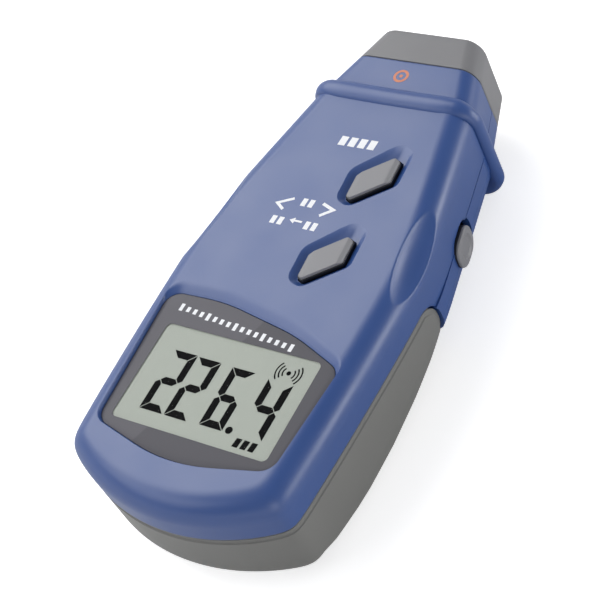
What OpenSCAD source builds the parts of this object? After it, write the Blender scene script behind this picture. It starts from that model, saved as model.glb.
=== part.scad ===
// Hand-held laser tachometer, lying on its back: display up, nose toward +Y, side key on +X.
// Origin: on the surface it lies on, under the middle of its length and width. Millimetres.

/* [Body outline] */
// Height of the front face above the surface the meter lies on
face_z = 35.5; // [34.5:0.1:36.5]
// Y of the display end at the middle of its bow
end_y = -80; // [-82:0.5:-79]
// Radius of the bowed display end, seen from above
bow_r = 57; // [52:1:64]
// Half width at the corners of the display end
heel_x = 34.2; // [33.5:0.1:34.6]
// Radius of those corners, seen from above
heel_r = 3.5; // [2.5:0.5:4]
// Half width beside the display
hip_x = 35.7; // [35.3:0.1:35.9]
// Y of that station
hip_y = -48; // [-52:1:-44]
// Greatest half width, where the flanks start to taper
grip_x = 36; // [35.9:0.1:36.2]
// Y where the flanks start to taper
grip_y = 3.5; // [2:0.5:5]
// Half width at the neck, under the collar
neck_x = 26; // [25.5:0.1:26.5]
// Y of the neck
neck_y = 51.3; // [50.8:0.1:51.8]
// Half width of the nose at the seam of its cap
seam_x = 20.2; // [19.8:0.1:20.6]
// Y of the seam between case and nose cap
seam_y = 68.7; // [68:0.1:69.4]
// Half width of the nose tip
tip_x = 16.5; // [16:0.1:17]
// Y of the nose tip
tip_y = 80; // [79.5:0.1:81]

/* [Body section] */
// Radius of the shoulders along the face
shoulder_r = 7; // [6:0.5:7.5]
// Radius of the rear case's long edges
back_r = 8; // [6:0.5:9]
// Height of the rear case's back above the surface
back_z = 5.3; // [4.8:0.1:5.8]
// Height of the parting line between the case halves
split_z = 18.5; // [18:0.1:19]
// Height of the seam between front case and battery cover
cover_z = 22.4; // [22.2:0.1:22.6]
// Wall of both case halves
wall = 2.2; // [1.8:0.1:2.4]
// How far the top of the nose lies below the face
nose_drop = 0.9; // [0.6:0.1:1.2]
// Height of the underside of the nose
nose_z = 8; // [7.5:0.1:8.5]
// Radius of the long edges of the nose
nose_r = 5.5; // [5:0.5:6]

/* [Collar] */
// Half width of the collar
collar_x = 28.4; // [28:0.1:28.8]
// Height of the top of the collar above the surface
collar_z = 37.1; // [36.8:0.1:37.4]
// Y of the middle of the collar
collar_y = 53.7; // [53.4:0.1:54]
// Radius of the collar's half-round bead
bead_r = 2.9; // [2.6:0.1:3.1]
// Radius of the collar's corners, seen along the meter
collar_r = 8; // [7:0.5:9]

/* [Display] */
// Depth of the display recess down to the window
recess_depth = 1.2; // [1:0.1:1.4]
// Thickness of the window plate
window_t = 1.4; // [1.2:0.1:1.6]
// Half width of the viewing opening
view_x = 24.6; // [24:0.1:25]
// Y of the viewing opening's edge nearest the display end
view_y0 = -59.4; // [-60:0.1:-59]
// Y of the viewing opening's other edge
view_y1 = -29.5; // [-30:0.1:-29]

/* [Keys] */
// X of the middle of both face keys
key_x = 9.7; // [9:0.1:10]
// Y of the middle of the upper key
upper_key_y = 26.7; // [26:0.1:27.4]
// Y of the middle of the lower key
lower_key_y = -0.6; // [-1.2:0.1:0]
// Height of the key caps above the face
key_rise = 0.8; // [0.6:0.1:1]
// Depth of the dishes the face keys sit in
dish_depth = 1.7; // [1.4:0.1:1.9]
// Y of the middle of the side key
side_key_y = 26; // [25:0.5:27]
// Height of the middle of the side key above the surface
side_key_z = 15.6; // [15.2:0.1:16]
// How far the side key stands out of the flank
side_key_rise = 1.5; // [1.2:0.1:1.8]

/* [Battery cover] */
// Wall of the battery cover
cover_wall = 1.7; // [1.5:0.1:1.8]
// Y of the cover's front edge
cover_y = 3.3; // [3:0.1:3.6]
// Radius of the cover's upper front corner, seen from the side
cover_corner_r = 7; // [6:0.5:8]
// Width of the stepped rim along the cover's edge
rim_w = 1.4; // [1:0.1:1.8]
// Depth of that step
rim_step = 0.4; // [0.3:0.05:0.5]

/* [Inside] */
// Length, width and thickness of the 9 V battery
battery_l = 48.5; // [48:0.5:48.5]
battery_w = 26.5; // [26:0.5:26.5]
battery_t = 17.5; // [17:0.5:17.5]
// Thickness of the boards
board_t = 1.6; // [1.5:0.1:1.6]
// Diameter of the receiver lens
lens_d = 15.6; // [15:0.1:16]
// Diameter of the laser barrel
laser_d = 8.6; // [8:0.1:9]

/* [Hidden] */
// Thickness of the slices the rounded volumes are stretched over
slice = 0.05;
// How far cuts run past the surfaces they open
over = 0.5;
// Clearance between pieces that slide or drop into each other
fit = 0.15;
// Clearance round the keys and the battery cover
slide_gap = 0.3;
// Steps of a rounded long edge and of a rounded corner
edge_steps = 5;
corner_steps = 5;
$fn = 48;

// The bow as an arc from corner to corner
bow_y = end_y + bow_r;
bow_turn = asin(heel_x / bow_r);
heel_y = bow_y - bow_r * cos(bow_turn);
bow_points = 12;
hip_r = 0;
grip_r = 60;
// The flank's lean and the nose's lean, as run over length
flank_lean = (grip_x - neck_x) / (neck_y - grip_y);
nose_lean = (neck_x - seam_x) / (seam_y - neck_y);
// The body volume ends inside the nose, beyond the collar, and the nose starts under the collar
body_end_y = 59.5;
body_end_inset = 0.3;
nose_start_y = 51.1;
body_end_x = neck_x - nose_lean * (body_end_y - neck_y) - body_end_inset;

// Display recess: the outline leans, higher on the left than on the right
recess_left = -30.6;
recess_right = 30.7;
recess_foot = 28.2;
recess_foot_y = -61.8;
recess_bow_y = -68.4;
recess_left_y = -16.8;
recess_crown_x = -12;
recess_crown_y = -15.8;
recess_mid_x = 13;
recess_mid_y = -20;
recess_right_y = -27.6;
recess_corner_r = 5;
recess_foot_r = 5;
recess_bow_r = 55;
recess_crown_r = 60;
// The plate lies inside the outline by the side inset, and by the head inset under the sloped head wall
side_inset = 0.5;
head_inset = 2.2;
seat_t = 1;
seat_w = 3.2;
view_r = 1.4;
view_lip = 0.7;

// Heights of the stack under the window
window_z = face_z - recess_depth;
seat_z = window_z - window_t;
glass_z = seat_z - seat_t;
glass_t = 2.2;
strip_t = 2.4;
board_z = glass_z - glass_t - strip_t;
board_under = board_z - board_t;
glass_x = 27;
glass_y0 = -62.4;
glass_y1 = -26.4;
holder_wall = 1.5;
strip_w = 2;
strip_inset = 0.9;
strip_x = 24.5;

// Main board: wide under the display, narrow ahead of it
board_x = 28.5;
board_y0 = -63.7;
board_y1 = -19.7;
board_neck_x = 14.5;
board_y2 = 42.2;
board_corner_r = 2;
post_r = 2.1;
post_hole_r = 0.9;
post_x = 24;
post_y = -22.3;
front_post_x = 11.5;
front_post_y = 39.8;
board_screw_r = 1;
board_screw_head_r = 1.9;
board_screw_head_t = 1.2;
board_screw_l = 5;

// Partition of the rear case over the battery
partition_t = 1.5;
partition_inset = 2.5;
bulkhead_y = 1.3;
bulkhead_t = 4.2;

// Key outline, a leaning hexagon with opposite corners alike
key_side = [5.6, -0.2];
key_head = [3.05, 8.0];
key_shoulder = [5.1, 7.2];
key_r = 0.9;
key_cap_t = 1.6;
key_cap_inset = 0.55;
key_grow_dish = 2.2;
key_boss_grow = 2.4;
key_boss_t = 1.6;
key_flange_grow = 0.9;
key_flange_t = 0.6;
key_flange_gap = 0.2;
key_stem_r = 1.6;
key_stem_gap = 0.65;
switch_w = 6;
switch_t = 2.2;
plunger_r = 1.6;
plunger_t = 0.85;

// Side key, an upright stadium on the leaning flank
side_key_l = 13;
side_key_h = 9.6;
side_key_r = 4.2;
side_flange = 1;
side_flange_t = 0.8;
side_stem_r = 1.7;
side_stem_l = 2.2;
side_stem_gap = 1.2;
side_dish_r = 11;
side_dish_depth = 0.7;
flank_turn = atan(flank_lean);
flank_x = grip_x - flank_lean * (side_key_y - grip_y);
side_board_l = 15;
side_board_h = 15;
side_slot_w = 2;

// Thumb grips, dished by a long spindle
thumb_y = 5.6;
thumb_deep = 2.6;
thumb_r = 22;
thumb_half = 15;
thumb_rib_r = 2.6;
thumb_rib_in = 2.5;
thumb_arc_r = (thumb_half * thumb_half + thumb_deep * thumb_deep) / (2 * thumb_deep);
thumb_turn = 10.5;

// Battery bay
battery_y0 = -64.5;
battery_gap = 0.2;
battery_z = cover_z - battery_gap - battery_t;
battery_r = 2;
bay_gap = 0.5;
bay_rib_t = 1.3;
bay_rib_h = 13;
stud_r = 4;
stud_t = 2.2;
stud_x = 6.35;
clip_t = 4;
clip_gap = 0.2;
clip_w = 25;
clip_h = 13;
clip_r = 3;
rail_x = 30.2;
rail_t = 1.2;
rail_lip = 1.1;
rail_h = 5.2;
rail_lip_t = 1.4;
rail_y0 = -58;
rail_y1 = 1;
lip_t = 2;
lip_drop = 0.9;

// Battery cover below the seam, as depth of its bottom and radius of its lower edge at each station
// Each entry: Y, height of the bottom, radius of the lower edge
cover_stations = [
    [-64.7, 2.8, 5],
    [-59.7, 1.3, 5],
    [-49.7, 0.2, 5],
    [-43.7, 0, 5],
    [-30.7, 0, 6],
    [-16.7, 0.6, 8],
    [-5.7, 1.6, 10],
    [3.3, 2.7, 12]
];
cover_end_z = 4.5;
cover_end_r = 4;
cover_mid_z = 14;
pad_y = -37.2;
pad_l = 12.6;
pad_w = 20;

// Screws of the case
screw_r = 1.4;
screw_head_r = 2.7;
screw_head_t = 1.9;
boss_r = 3.3;
pilot_r = 1.1;
front_boss_x = 21;
front_boss_y = 38;
aft_boss_x = 24;
aft_boss_y = -67.6;
// The bosses at the display end stop under the rounded shoulder
shoulder_drop = 1.9;
cross_w = 0.7;
cross_l = 3;
cross_t = 0.9;
front_screw_l = 14;
aft_screw_l = 8;
boss_gap = 0.15;

// Optics in the nose
optics_y0 = 49;
optics_y1 = 62;
optics_x = 17;
optics_z0 = 12.5;
optics_z1 = 30.5;
optics_r = 2;
lens_x = -7;
laser_x = 9.3;
optic_z = 21.5;
lens_y = 59;
lens_edge_t = 1.4;
lens_bulge = 1.9;
bore_inner_r = 6.6;
laser_y0 = 42.5;
laser_y1 = 65.5;
laser_ring_r = 5;
laser_ring_t = 1.5;
laser_lens_r = 2.4;
laser_lens_t = 1;
laser_mouth_r = 2;
sensor_w = 16;
sensor_h = 15;
diode_r = 2.5;
diode_t = 3.4;
foot_w = 5;
foot_h = 4;
foot_l = 8;
foot_x = 12.2;
pin_l = 6.5;

// Nose cap
cap_wall = 2;
cap_front = 2;
cap_edge = 0.8;
cap_drop = 0.2;
spigot_l = 3.2;
spigot_t = 1.3;
mouth_x = 12;
mouth_z0 = 14.4;
mouth_z1 = 28.4;
mouth_r = 5;
filter_t = 1.5;
filter_rim = 1.4;

// Leads as routes of points
lead_r = 0.6;
signal_r = 0.45;
lead_sides = 8;

// Chips, crystal and capacitors on the underside of the main board
chip_w = 12;
chip_t = 1.3;
chip_y = -42;
small_chip_l = 5;
small_chip_w = 4;
amplifier_y = 31;
memory_y = 20;
small_chip_x = -9;
can_l = 11;
can_w = 4.6;
can_t = 3.4;
can_y = 12;
cap_r = 2.5;
cap_h = 7;
cap_places = [[2, 20], [2, 27], [-3, 34]];

// Heights of the key's flange and of the foot of its stem
key_flange_z = face_z - dish_depth - key_boss_t - key_flange_gap;
key_stem_z = board_z + switch_t + plunger_t + key_stem_gap;

// Depth of the side switch board behind the flank
side_depth = wall + side_flange_t + side_stem_l + side_stem_gap + plunger_t + switch_t + board_t / 2;
// Passage of the leads through the bulkhead
lead_hole_x = 17.5;
lead_hole_z = 14;
lead_hole_r = 2.6;

// Radius of the curved face of the receiver lens
lens_arc_r = (lens_d * lens_d / 4 + lens_bulge * lens_bulge) / (2 * lens_bulge);

// Routes of the leads
lead_start_y = battery_y0 + battery_l + clip_gap + clip_t;
lead_run = bulkhead_y - lead_start_y;
lead_mid_z = battery_z + battery_t / 2;
positive_route = [
    [8, lead_start_y, lead_mid_z],
    [8, lead_start_y + 0.25 * lead_run, lead_mid_z],
    [9, lead_start_y + 0.44 * lead_run, lead_mid_z],
    [13, lead_start_y + 0.67 * lead_run, 13.8],
    [16, lead_start_y + 0.82 * lead_run, 14.6],
    [17, lead_start_y + 0.97 * lead_run, 14.8],
    [17, 6, 14.8],
    [16, 8, 16],
    [13, 9, 19],
    [12, 9.5, 22],
    [12, 9.5, board_under]
];
negative_route = [
    [-8, lead_start_y, lead_mid_z],
    [-8, lead_start_y + 0.25 * lead_run, lead_mid_z],
    [-6, lead_start_y + 0.44 * lead_run, lead_mid_z],
    [6, lead_start_y + 0.63 * lead_run, 12.6],
    [15, lead_start_y + 0.75 * lead_run, 12.6],
    [17.5, lead_start_y + 0.94 * lead_run, 12.6],
    [17.8, 6, 12.6],
    [17, 11, 14],
    [13, 14, 18],
    [12, 14.5, 22],
    [12, 14.5, board_under]
];
laser_routes = [
    [[8.2, laser_y0, 21.5], [8.2, 40.5, 21.5], [7, 37.5, 22.5], [6.5, 35.8, 24], [6.5, 35.8, board_under]],
    [[10.4, laser_y0, 21.5], [10.4, 40.5, 21.5], [11, 37, 22.5], [11, 34.3, 24], [11, 34.3, board_under]]
];
sensor_routes = [
    [[-9, 47.4, 17], [-9, 45, 17], [-9, 43, 18.5], [-8.5, 40, 22], [-8, 38.3, 24], [-8, 38.3, board_under]],
    [[-5, 47.4, 17], [-5, 45, 17], [-5, 43.5, 18.5], [-5, 41.5, 22], [-5, 40.3, 24], [-5, 40.3, board_under]]
];

// Points of an arc about c from angle a0 to a1
function arc(c, r, a0, a1, n) = [for (i = [0:n]) let (a = a0 + (a1 - a0) * i / n) c + r * [cos(a), sin(a)]];

// Corner p between neighbours a and b, rounded to radius r
function corner(a, p, b, r, n) =
    let (u = (a - p) / norm(a - p), v = (b - p) / norm(b - p), half = acos(u * v) / 2)
    let (c = p + (u + v) / norm(u + v) * r / sin(half))
    let (s = p + u * r / tan(half) - c, e = p + v * r / tan(half) - c)
    let (a0 = atan2(s[1], s[0]), step = atan2(e[1], e[0]) - a0)
    let (turn = step > 180 ? step - 360 : step < -180 ? step + 360 : step)
    arc(c, r, a0, a0 + turn, n);

// Outline from corners [x, y, radius]; radius 0 keeps the corner sharp
function rounded(k, n = corner_steps) = [
    for (i = [0:len(k) - 1])
        let (p = k[i], a = k[(i + len(k) - 1) % len(k)], b = k[(i + 1) % len(k)])
            each p[2] == 0 ? [[p[0], p[1]]] : corner([a[0], a[1]], [p[0], p[1]], [b[0], b[1]], p[2], n)
];

// Mirror image of corners in x, in reverse order
function mirrored(k) = [for (i = [len(k) - 1:-1:0]) [-k[i][0], k[i][1], k[i][2]]];

// Right side of the body outline from the heel to the end inside the nose
body_side = [
    [heel_x, heel_y, heel_r],
    [hip_x, hip_y, hip_r],
    [grip_x, grip_y, grip_r],
    [neck_x, neck_y, 0],
    [body_end_x, body_end_y, 0]
];
body_bow = [
    for (i = [1:bow_points - 1])
        let (a = bow_turn * (2 * i / bow_points - 1)) [bow_r * sin(a), bow_y - bow_r * cos(a), 0]
];
body_points = rounded(concat(body_bow, body_side, mirrored(body_side)));
// Half width of the body at height y of the outline
side_table = [for (p = body_points) if (p[0] > heel_x - heel_r && p[1] < body_end_y) [p[1], p[0]]];
function half_at(y) = lookup(y, side_table);

// Outline of the display recess
recess_corners = [
    [0, recess_bow_y, recess_bow_r],
    [recess_foot, recess_foot_y, recess_foot_r],
    [recess_right, recess_right_y, recess_corner_r],
    [recess_mid_x, recess_mid_y, recess_crown_r],
    [recess_crown_x, recess_crown_y, recess_crown_r],
    [recess_left, recess_left_y, recess_corner_r],
    [-recess_foot, recess_foot_y, recess_foot_r]
];

// Outline of a face key
key_corners = [
    [key_side[0], key_side[1], key_r],
    [key_shoulder[0], key_shoulder[1], key_r],
    [key_head[0], key_head[1], key_r],
    [-key_side[0], -key_side[1], key_r],
    [-key_shoulder[0], -key_shoulder[1], key_r],
    [-key_head[0], -key_head[1], key_r]
];

module body_outline() {
    polygon(body_points);
}

module recess_outline() {
    polygon(rounded(recess_corners));
}

// Window plate: the recess outline drawn in, more at the head than at the sides
module plate_outline(grow = 0) {
    intersection() {
        offset(delta = grow - side_inset) recess_outline();
        translate([0, grow - head_inset]) offset(delta = 0) recess_outline();
        offset(delta = grow) square_field();
    }
}

// Field that reaches past the recess on every side but is bounded, for intersections
module square_field() {
    translate([-2 * grip_x, end_y]) square([4 * grip_x, -end_y]);
}

// Body volume stretched over slices, grown or drawn in by grow
module body_volume(grow = 0) {
    hull() {
        for (i = [0:edge_steps]) {
            a = 90 * i / edge_steps;
            translate([0, 0, face_z + grow - (shoulder_r + grow) * (1 - sin(a)) - slice])
                linear_extrude(slice)
                    offset(delta = grow - (shoulder_r + grow) * (1 - cos(a)))
                        body_outline();
            translate([0, 0, back_z - grow + (back_r + grow) * (1 - sin(a))])
                linear_extrude(slice)
                    offset(delta = grow - (back_r + grow) * (1 - cos(a)))
                        body_outline();
        }
    }
}

// Section across the meter, centred on x = 0, between heights z0 and z1
module cross_section(y, half, z0, z1, r0, r1) {
    translate([0, y, 0])
        rotate([90, 0, 0])
            linear_extrude(slice)
                polygon(rounded([[half, z0, r0], [half, z1, r1], [-half, z1, r1], [-half, z0, r0]]));
}

// Nose volume from the neck to y, grown or drawn in by grow
module nose_volume(y0, y1, grow = 0) {
    hull() {
        for (y = [y0, y1])
            cross_section(
                y,
                seam_x + nose_lean * (seam_y - y) + grow,
                nose_z - grow,
                face_z - nose_drop + grow,
                nose_r + grow,
                nose_r + grow
            );
    }
}

// Side profile of the battery cover, grown by grow, as a prism across the meter
module cover_profile(grow = 0) {
    r = cover_corner_r + grow;
    y1 = cover_y + grow;
    z1 = cover_z + grow;
    difference() {
        translate([-2 * grip_x, end_y - bow_r, -over])
            cube([4 * grip_x, y1 - end_y + bow_r, z1 + over]);
        translate([-2 * grip_x - over, y1 - r, z1 - r])
            difference() {
                cube([4 * grip_x + 2 * over, 2 * r, 2 * r]);
                rotate([0, 90, 0]) translate([0, 0, -over]) cylinder(h = 4 * grip_x + 4 * over, r = r);
            }
    }
}

// Outer volume of the battery cover, drawn in by inset; past its front edge by ahead
module cover_volume(inset = 0, ahead = 0) {
    hull() {
        translate([0, 0, cover_z - slice])
            linear_extrude(slice)
                intersection() {
                    offset(delta = -inset) body_outline();
                    translate([-2 * grip_x, end_y]) square([4 * grip_x, cover_y + ahead - end_y]);
                }
        for (i = [0:edge_steps - 1]) {
            a = 90 * i / (edge_steps - 1);
            r = cover_end_r - inset;
            translate([0, 0, cover_end_z + inset + r * (1 - sin(a))])
                linear_extrude(slice)
                    intersection() {
                        offset(delta = -inset - r * (1 - cos(a))) body_outline();
                        translate([-2 * grip_x, end_y])
                            square([4 * grip_x, cover_stations[0][0] - end_y]);
                    }
        }
        for (s = cover_stations)
            cross_section(
                s[0] == cover_y ? s[0] + ahead : s[0],
                half_at(s[0]) - inset,
                s[1] + inset,
                cover_mid_z,
                s[2] - inset,
                0
            );
    }
}

// Prism of a corner list grown by g, from z0 to z1
module key_prism(g, z0, z1) {
    translate([0, 0, z0])
        linear_extrude(z1 - z0)
            polygon(rounded([
                for (k = key_corners)
                    let (d = norm([k[0], k[1]]))
                        [k[0] * (d + g) / d, k[1] * (d + g) / d, key_r + g / 2]
            ]));
}

// Stadium standing on the flank: long along the flank, drawn toward the outside of the meter
module side_prism(l, h, r, d0, d1) {
    translate([flank_x, side_key_y, side_key_z])
        rotate([0, 0, flank_turn])
            translate([d0, 0, 0])
                rotate([90, 0, 90])
                    linear_extrude(d1 - d0)
                        polygon(rounded([
                            [l / 2, -h / 2, r],
                            [l / 2, h / 2, r],
                            [-l / 2, h / 2, r],
                            [-l / 2, -h / 2, r]
                        ]));
}

// Tube swept along a route of points, with flat ends square to the route
function along(p, i) =
    let (a = p[max(i - 1, 0)], b = p[min(i + 1, len(p) - 1)]) (b - a) / norm(b - a);
function across(t) = let (s = abs(t[0]) < 0.8 ? [1, 0, 0] : [0, 0, 1], n = cross(t, s)) n / norm(n);
module tube(p, r) {
    n = lead_sides;
    m = len(p);
    polyhedron(
        [
            for (i = [0:m - 1])
                let (t = along(p, i), u = across(t), v = cross(t, u))
                    for (k = [0:n - 1]) p[i] + r * (cos(360 * k / n) * u + sin(360 * k / n) * v)
        ],
        concat(
            [
                for (i = [0:m - 2])
                    for (k = [0:n - 1])
                        let (next = (k + 1) % n)
                            [i * n + k, i * n + next, (i + 1) * n + next, (i + 1) * n + k]
            ],
            [[for (k = [n - 1:-1:0]) k]],
            [[for (k = [0:n - 1]) (m - 1) * n + k]]
        )
    );
}

// Pan-head screw standing on its head, shank up
module screw(r, head_r, head_t, l) {
    difference() {
        union() {
            cylinder(h = head_t, r = head_r);
            translate([0, 0, head_t - over]) cylinder(h = l + over, r = r);
        }
        for (a = [0, 90])
            rotate([0, 0, a])
                translate([-cross_l * head_r / screw_head_r / 2, -cross_w / 2, -over])
                    cube([cross_l * head_r / screw_head_r, cross_w, cross_t * head_t / screw_head_t + over]);
    }
}

// Blue front half of the case
module front_case() {
    color([0.42, 0.47, 0.66])
        difference() {
            union() {
                intersection() {
                    difference() {
                        union() {
                            body_volume();
                            nose_volume(nose_start_y, seam_y);
                        }
                        body_volume(-wall);
                        nose_volume(neck_y, seam_y + over, -wall);
                    }
                    translate([-2 * grip_x, 2 * end_y, split_z]) cube([4 * grip_x, -4 * end_y, 2 * face_z]);
                }
                // Seat of the window plate, with the rim the display glass stands against
                translate([0, 0, glass_z])
                    linear_extrude(face_z - glass_z - wall / 2)
                        polygon(rounded([
                            [view_x + seat_w, view_y0 - seat_w, view_r],
                            [view_x + seat_w, view_y1 + seat_w, view_r],
                            [-view_x - seat_w, view_y1 + seat_w, view_r],
                            [-view_x - seat_w, view_y0 - seat_w, view_r]
                        ]));
                translate([0, 0, seat_z - seat_t])
                    linear_extrude(seat_t + window_t / 2)
                        offset(delta = seat_t)
                            plate_outline();
                // Bosses round the face keys
                for (y = [upper_key_y, lower_key_y])
                    translate([key_x, y, 0])
                        key_prism(key_boss_grow, face_z - dish_depth - key_boss_t, face_z - wall / 2);
                // Ribs that back the thumb grips
                for (s = [-1, 1])
                    scale([s, 1, 1])
                        thumb_place(thumb_rib_in)
                            cylinder(h = 2 * thumb_half, r = thumb_rib_r, center = true);
                // Posts of the main board
                for (x = [-post_x, post_x])
                    translate([x, post_y, board_z]) cylinder(h = face_z - wall / 2 - board_z, r = post_r);
                for (x = [-front_post_x, front_post_x])
                    translate([x, front_post_y, board_z])
                        cylinder(h = face_z - wall / 2 - board_z, r = post_r);
                // Bosses of the case screws
                for (x = [-front_boss_x, front_boss_x])
                    translate([x, front_boss_y, split_z])
                        cylinder(h = face_z - wall / 2 - split_z, r = boss_r);
                for (x = [-aft_boss_x, aft_boss_x])
                    translate([x, aft_boss_y, cover_z + partition_t + boss_gap])
                        cylinder(h = face_z - shoulder_drop - cover_z - partition_t - boss_gap, r = boss_r);
            }
            // Display recess, with its head wall sloping down to the plate
            hull() {
                translate([0, 0, face_z]) linear_extrude(over) recess_outline();
                translate([0, 0, window_z]) linear_extrude(slice) plate_outline(fit);
            }
            translate([0, 0, seat_z]) linear_extrude(window_t + slice) plate_outline(fit);
            translate([0, 0, glass_z - over])
                linear_extrude(2 * face_z)
                    polygon(rounded([
                        [view_x + view_lip, view_y0 - view_lip, view_r],
                        [view_x + view_lip, view_y1 + view_lip, view_r],
                        [-view_x - view_lip, view_y1 + view_lip, view_r],
                        [-view_x - view_lip, view_y0 - view_lip, view_r]
                    ]));
            // Dishes and openings of the face keys
            for (y = [upper_key_y, lower_key_y])
                translate([key_x, y, 0]) {
                    key_prism(key_grow_dish, face_z - dish_depth, face_z + over);
                    key_prism(slide_gap, 0, face_z + over);
                }
            // Thumb grips
            for (s = [-1, 1])
                scale([s, 1, 1]) thumb_spindle();
            // Opening of the side key
            side_prism(
                side_key_l + 2 * slide_gap,
                side_key_h + 2 * slide_gap,
                side_key_r + slide_gap,
                -2 * wall,
                2 * wall
            );
            cover_profile(boss_gap);
            // Pilot holes
            for (x = [-post_x, post_x])
                translate([x, post_y, board_z - over]) cylinder(h = board_screw_l + over, r = post_hole_r);
            for (x = [-front_post_x, front_post_x])
                translate([x, front_post_y, board_z - over])
                    cylinder(h = board_screw_l + over, r = post_hole_r);
            for (x = [-front_boss_x, front_boss_x])
                translate([x, front_boss_y, 0]) cylinder(h = face_z - 2 * wall, r = pilot_r);
            for (x = [-aft_boss_x, aft_boss_x])
                translate([x, aft_boss_y, 0]) cylinder(h = face_z - 2 * wall, r = pilot_r);
        }
}

// Places its child beside the middle of the right thumb grip, reach out from the centre of the shoulder's arc
module thumb_place(reach) {
    translate([
        half_at(thumb_y) - shoulder_r + reach * cos(45),
        thumb_y,
        face_z - shoulder_r + reach * sin(45)
    ])
        rotate([0, 0, thumb_turn])
            rotate([-90, 0, 0])
                children();
}

// Long lens-shaped spindle that dishes a thumb grip out of the right shoulder
module thumb_spindle() {
    thumb_place(thumb_r - thumb_deep + shoulder_r)
        rotate_extrude($fn = 64)
            intersection() {
                translate([thumb_r - thumb_arc_r, 0]) circle(r = thumb_arc_r, $fn = 96);
                translate([0, -thumb_arc_r]) square([thumb_arc_r, 2 * thumb_arc_r]);
            }
}

// Blue rear half of the case, with the partition over the battery and the rails of its cover
module rear_case() {
    color([0.36, 0.41, 0.60])
        difference() {
            union() {
                intersection() {
                    difference() {
                        union() {
                            body_volume();
                            nose_volume(nose_start_y, seam_y);
                        }
                        body_volume(-wall);
                        nose_volume(neck_y, seam_y + over, -wall);
                    }
                    difference() {
                        translate([-2 * grip_x, bulkhead_y, -over])
                            cube([4 * grip_x, -2 * end_y, split_z + over]);
                        cover_profile(boss_gap);
                    }
                }
                // Partition between electronics and battery
                translate([0, 0, cover_z])
                    linear_extrude(partition_t)
                        intersection() {
                            offset(delta = -partition_inset) body_outline();
                            translate([-2 * grip_x, end_y])
                                square([4 * grip_x, bulkhead_y + bulkhead_t - end_y]);
                        }
                // Bulkhead at the end of the battery bay
                intersection() {
                    cover_volume(wall + boss_gap, bulkhead_t);
                    translate([-2 * grip_x, bulkhead_y, 0])
                        cube([4 * grip_x, bulkhead_t - boss_gap, cover_z]);
                }
                // Ribs either side of the battery and at its foot
                for (s = [-1, 1])
                    translate([
                        s * (battery_w / 2 + bay_gap + bay_rib_t / 2) - bay_rib_t / 2,
                        battery_y0,
                        cover_z - bay_rib_h
                    ])
                        cube([bay_rib_t, battery_l, bay_rib_h + partition_t / 2]);
                translate([-battery_w / 4, battery_y0 - bay_gap - bay_rib_t, cover_z - bay_rib_h / 2])
                    cube([battery_w / 2, bay_rib_t, bay_rib_h / 2 + partition_t / 2]);
                // Rails the cover slides on
                for (s = [-1, 1])
                    scale([s, 1, 1]) {
                        translate([rail_x, rail_y0, cover_z - rail_h])
                            cube([rail_t, rail_y1 - rail_y0, rail_h + partition_t / 2]);
                        translate([rail_x, rail_y0, cover_z - rail_h])
                            cube([rail_t + rail_lip, rail_y1 - rail_y0, rail_lip_t]);
                    }
                // Bosses of the case screws
                for (x = [-front_boss_x, front_boss_x])
                    translate([x, front_boss_y, back_z + wall / 2])
                        cylinder(h = split_z - back_z - wall / 2 - boss_gap, r = boss_r);
                // Feet of the optics holder
                for (x = [-foot_x, foot_x])
                    translate([x - foot_w / 2, optics_y0 + fit, nose_z + wall / 2])
                        cube([foot_w, foot_l, optics_z0 - nose_z - wall / 2]);
                // Slots of the side switch board
                translate([flank_x, side_key_y, 0])
                    rotate([0, 0, flank_turn])
                        for (s = [-1, 1])
                            translate([
                                -side_depth - board_t / 2 - side_slot_w - fit,
                                s * (side_board_l / 2) - side_slot_w / 2,
                                back_z + wall / 2
                            ])
                                cube([
                                    2 * side_slot_w + board_t + 2 * fit,
                                    side_slot_w,
                                    split_z - back_z - wall / 2 - over
                                ]);
            }
            // Room for the side switch board in its slots
            translate([flank_x, side_key_y, 0])
                rotate([0, 0, flank_turn])
                    translate([-side_depth - board_t / 2 - fit, -side_board_l / 2 - fit, back_z + wall])
                        cube([board_t + 2 * fit, side_board_l + 2 * fit, face_z]);
            // Opening of the side key
            side_prism(
                side_key_l + 2 * slide_gap,
                side_key_h + 2 * slide_gap,
                side_key_r + slide_gap,
                -2 * wall,
                2 * wall
            );
            // Room for the flange of the side key where the wall curves in under it
            side_prism(
                side_key_l + 2 * side_flange + 2 * slide_gap,
                side_key_h + 2 * side_flange + 2 * slide_gap,
                side_key_r + side_flange + slide_gap,
                -3 * wall,
                -wall + fit
            );
            // Screw holes and the wells of their heads
            for (x = [-front_boss_x, front_boss_x])
                translate([x, front_boss_y, 0]) {
                    cylinder(h = face_z, r = screw_r + fit);
                    cylinder(h = back_z + wall, r = screw_head_r + fit);
                }
            for (x = [-aft_boss_x, aft_boss_x])
                translate([x, aft_boss_y, 0]) cylinder(h = face_z, r = screw_r + fit);
            for (x = [-foot_x, foot_x])
                translate([x, optics_y0 + fit + foot_l / 2, nose_z + wall])
                    cylinder(h = face_z, r = post_hole_r);
            // Passage of the battery leads
            translate([lead_hole_x, 0, lead_hole_z])
                rotate([-90, 0, 0]) cylinder(h = 2 * cover_corner_r, r = lead_hole_r);
        }
}

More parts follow.
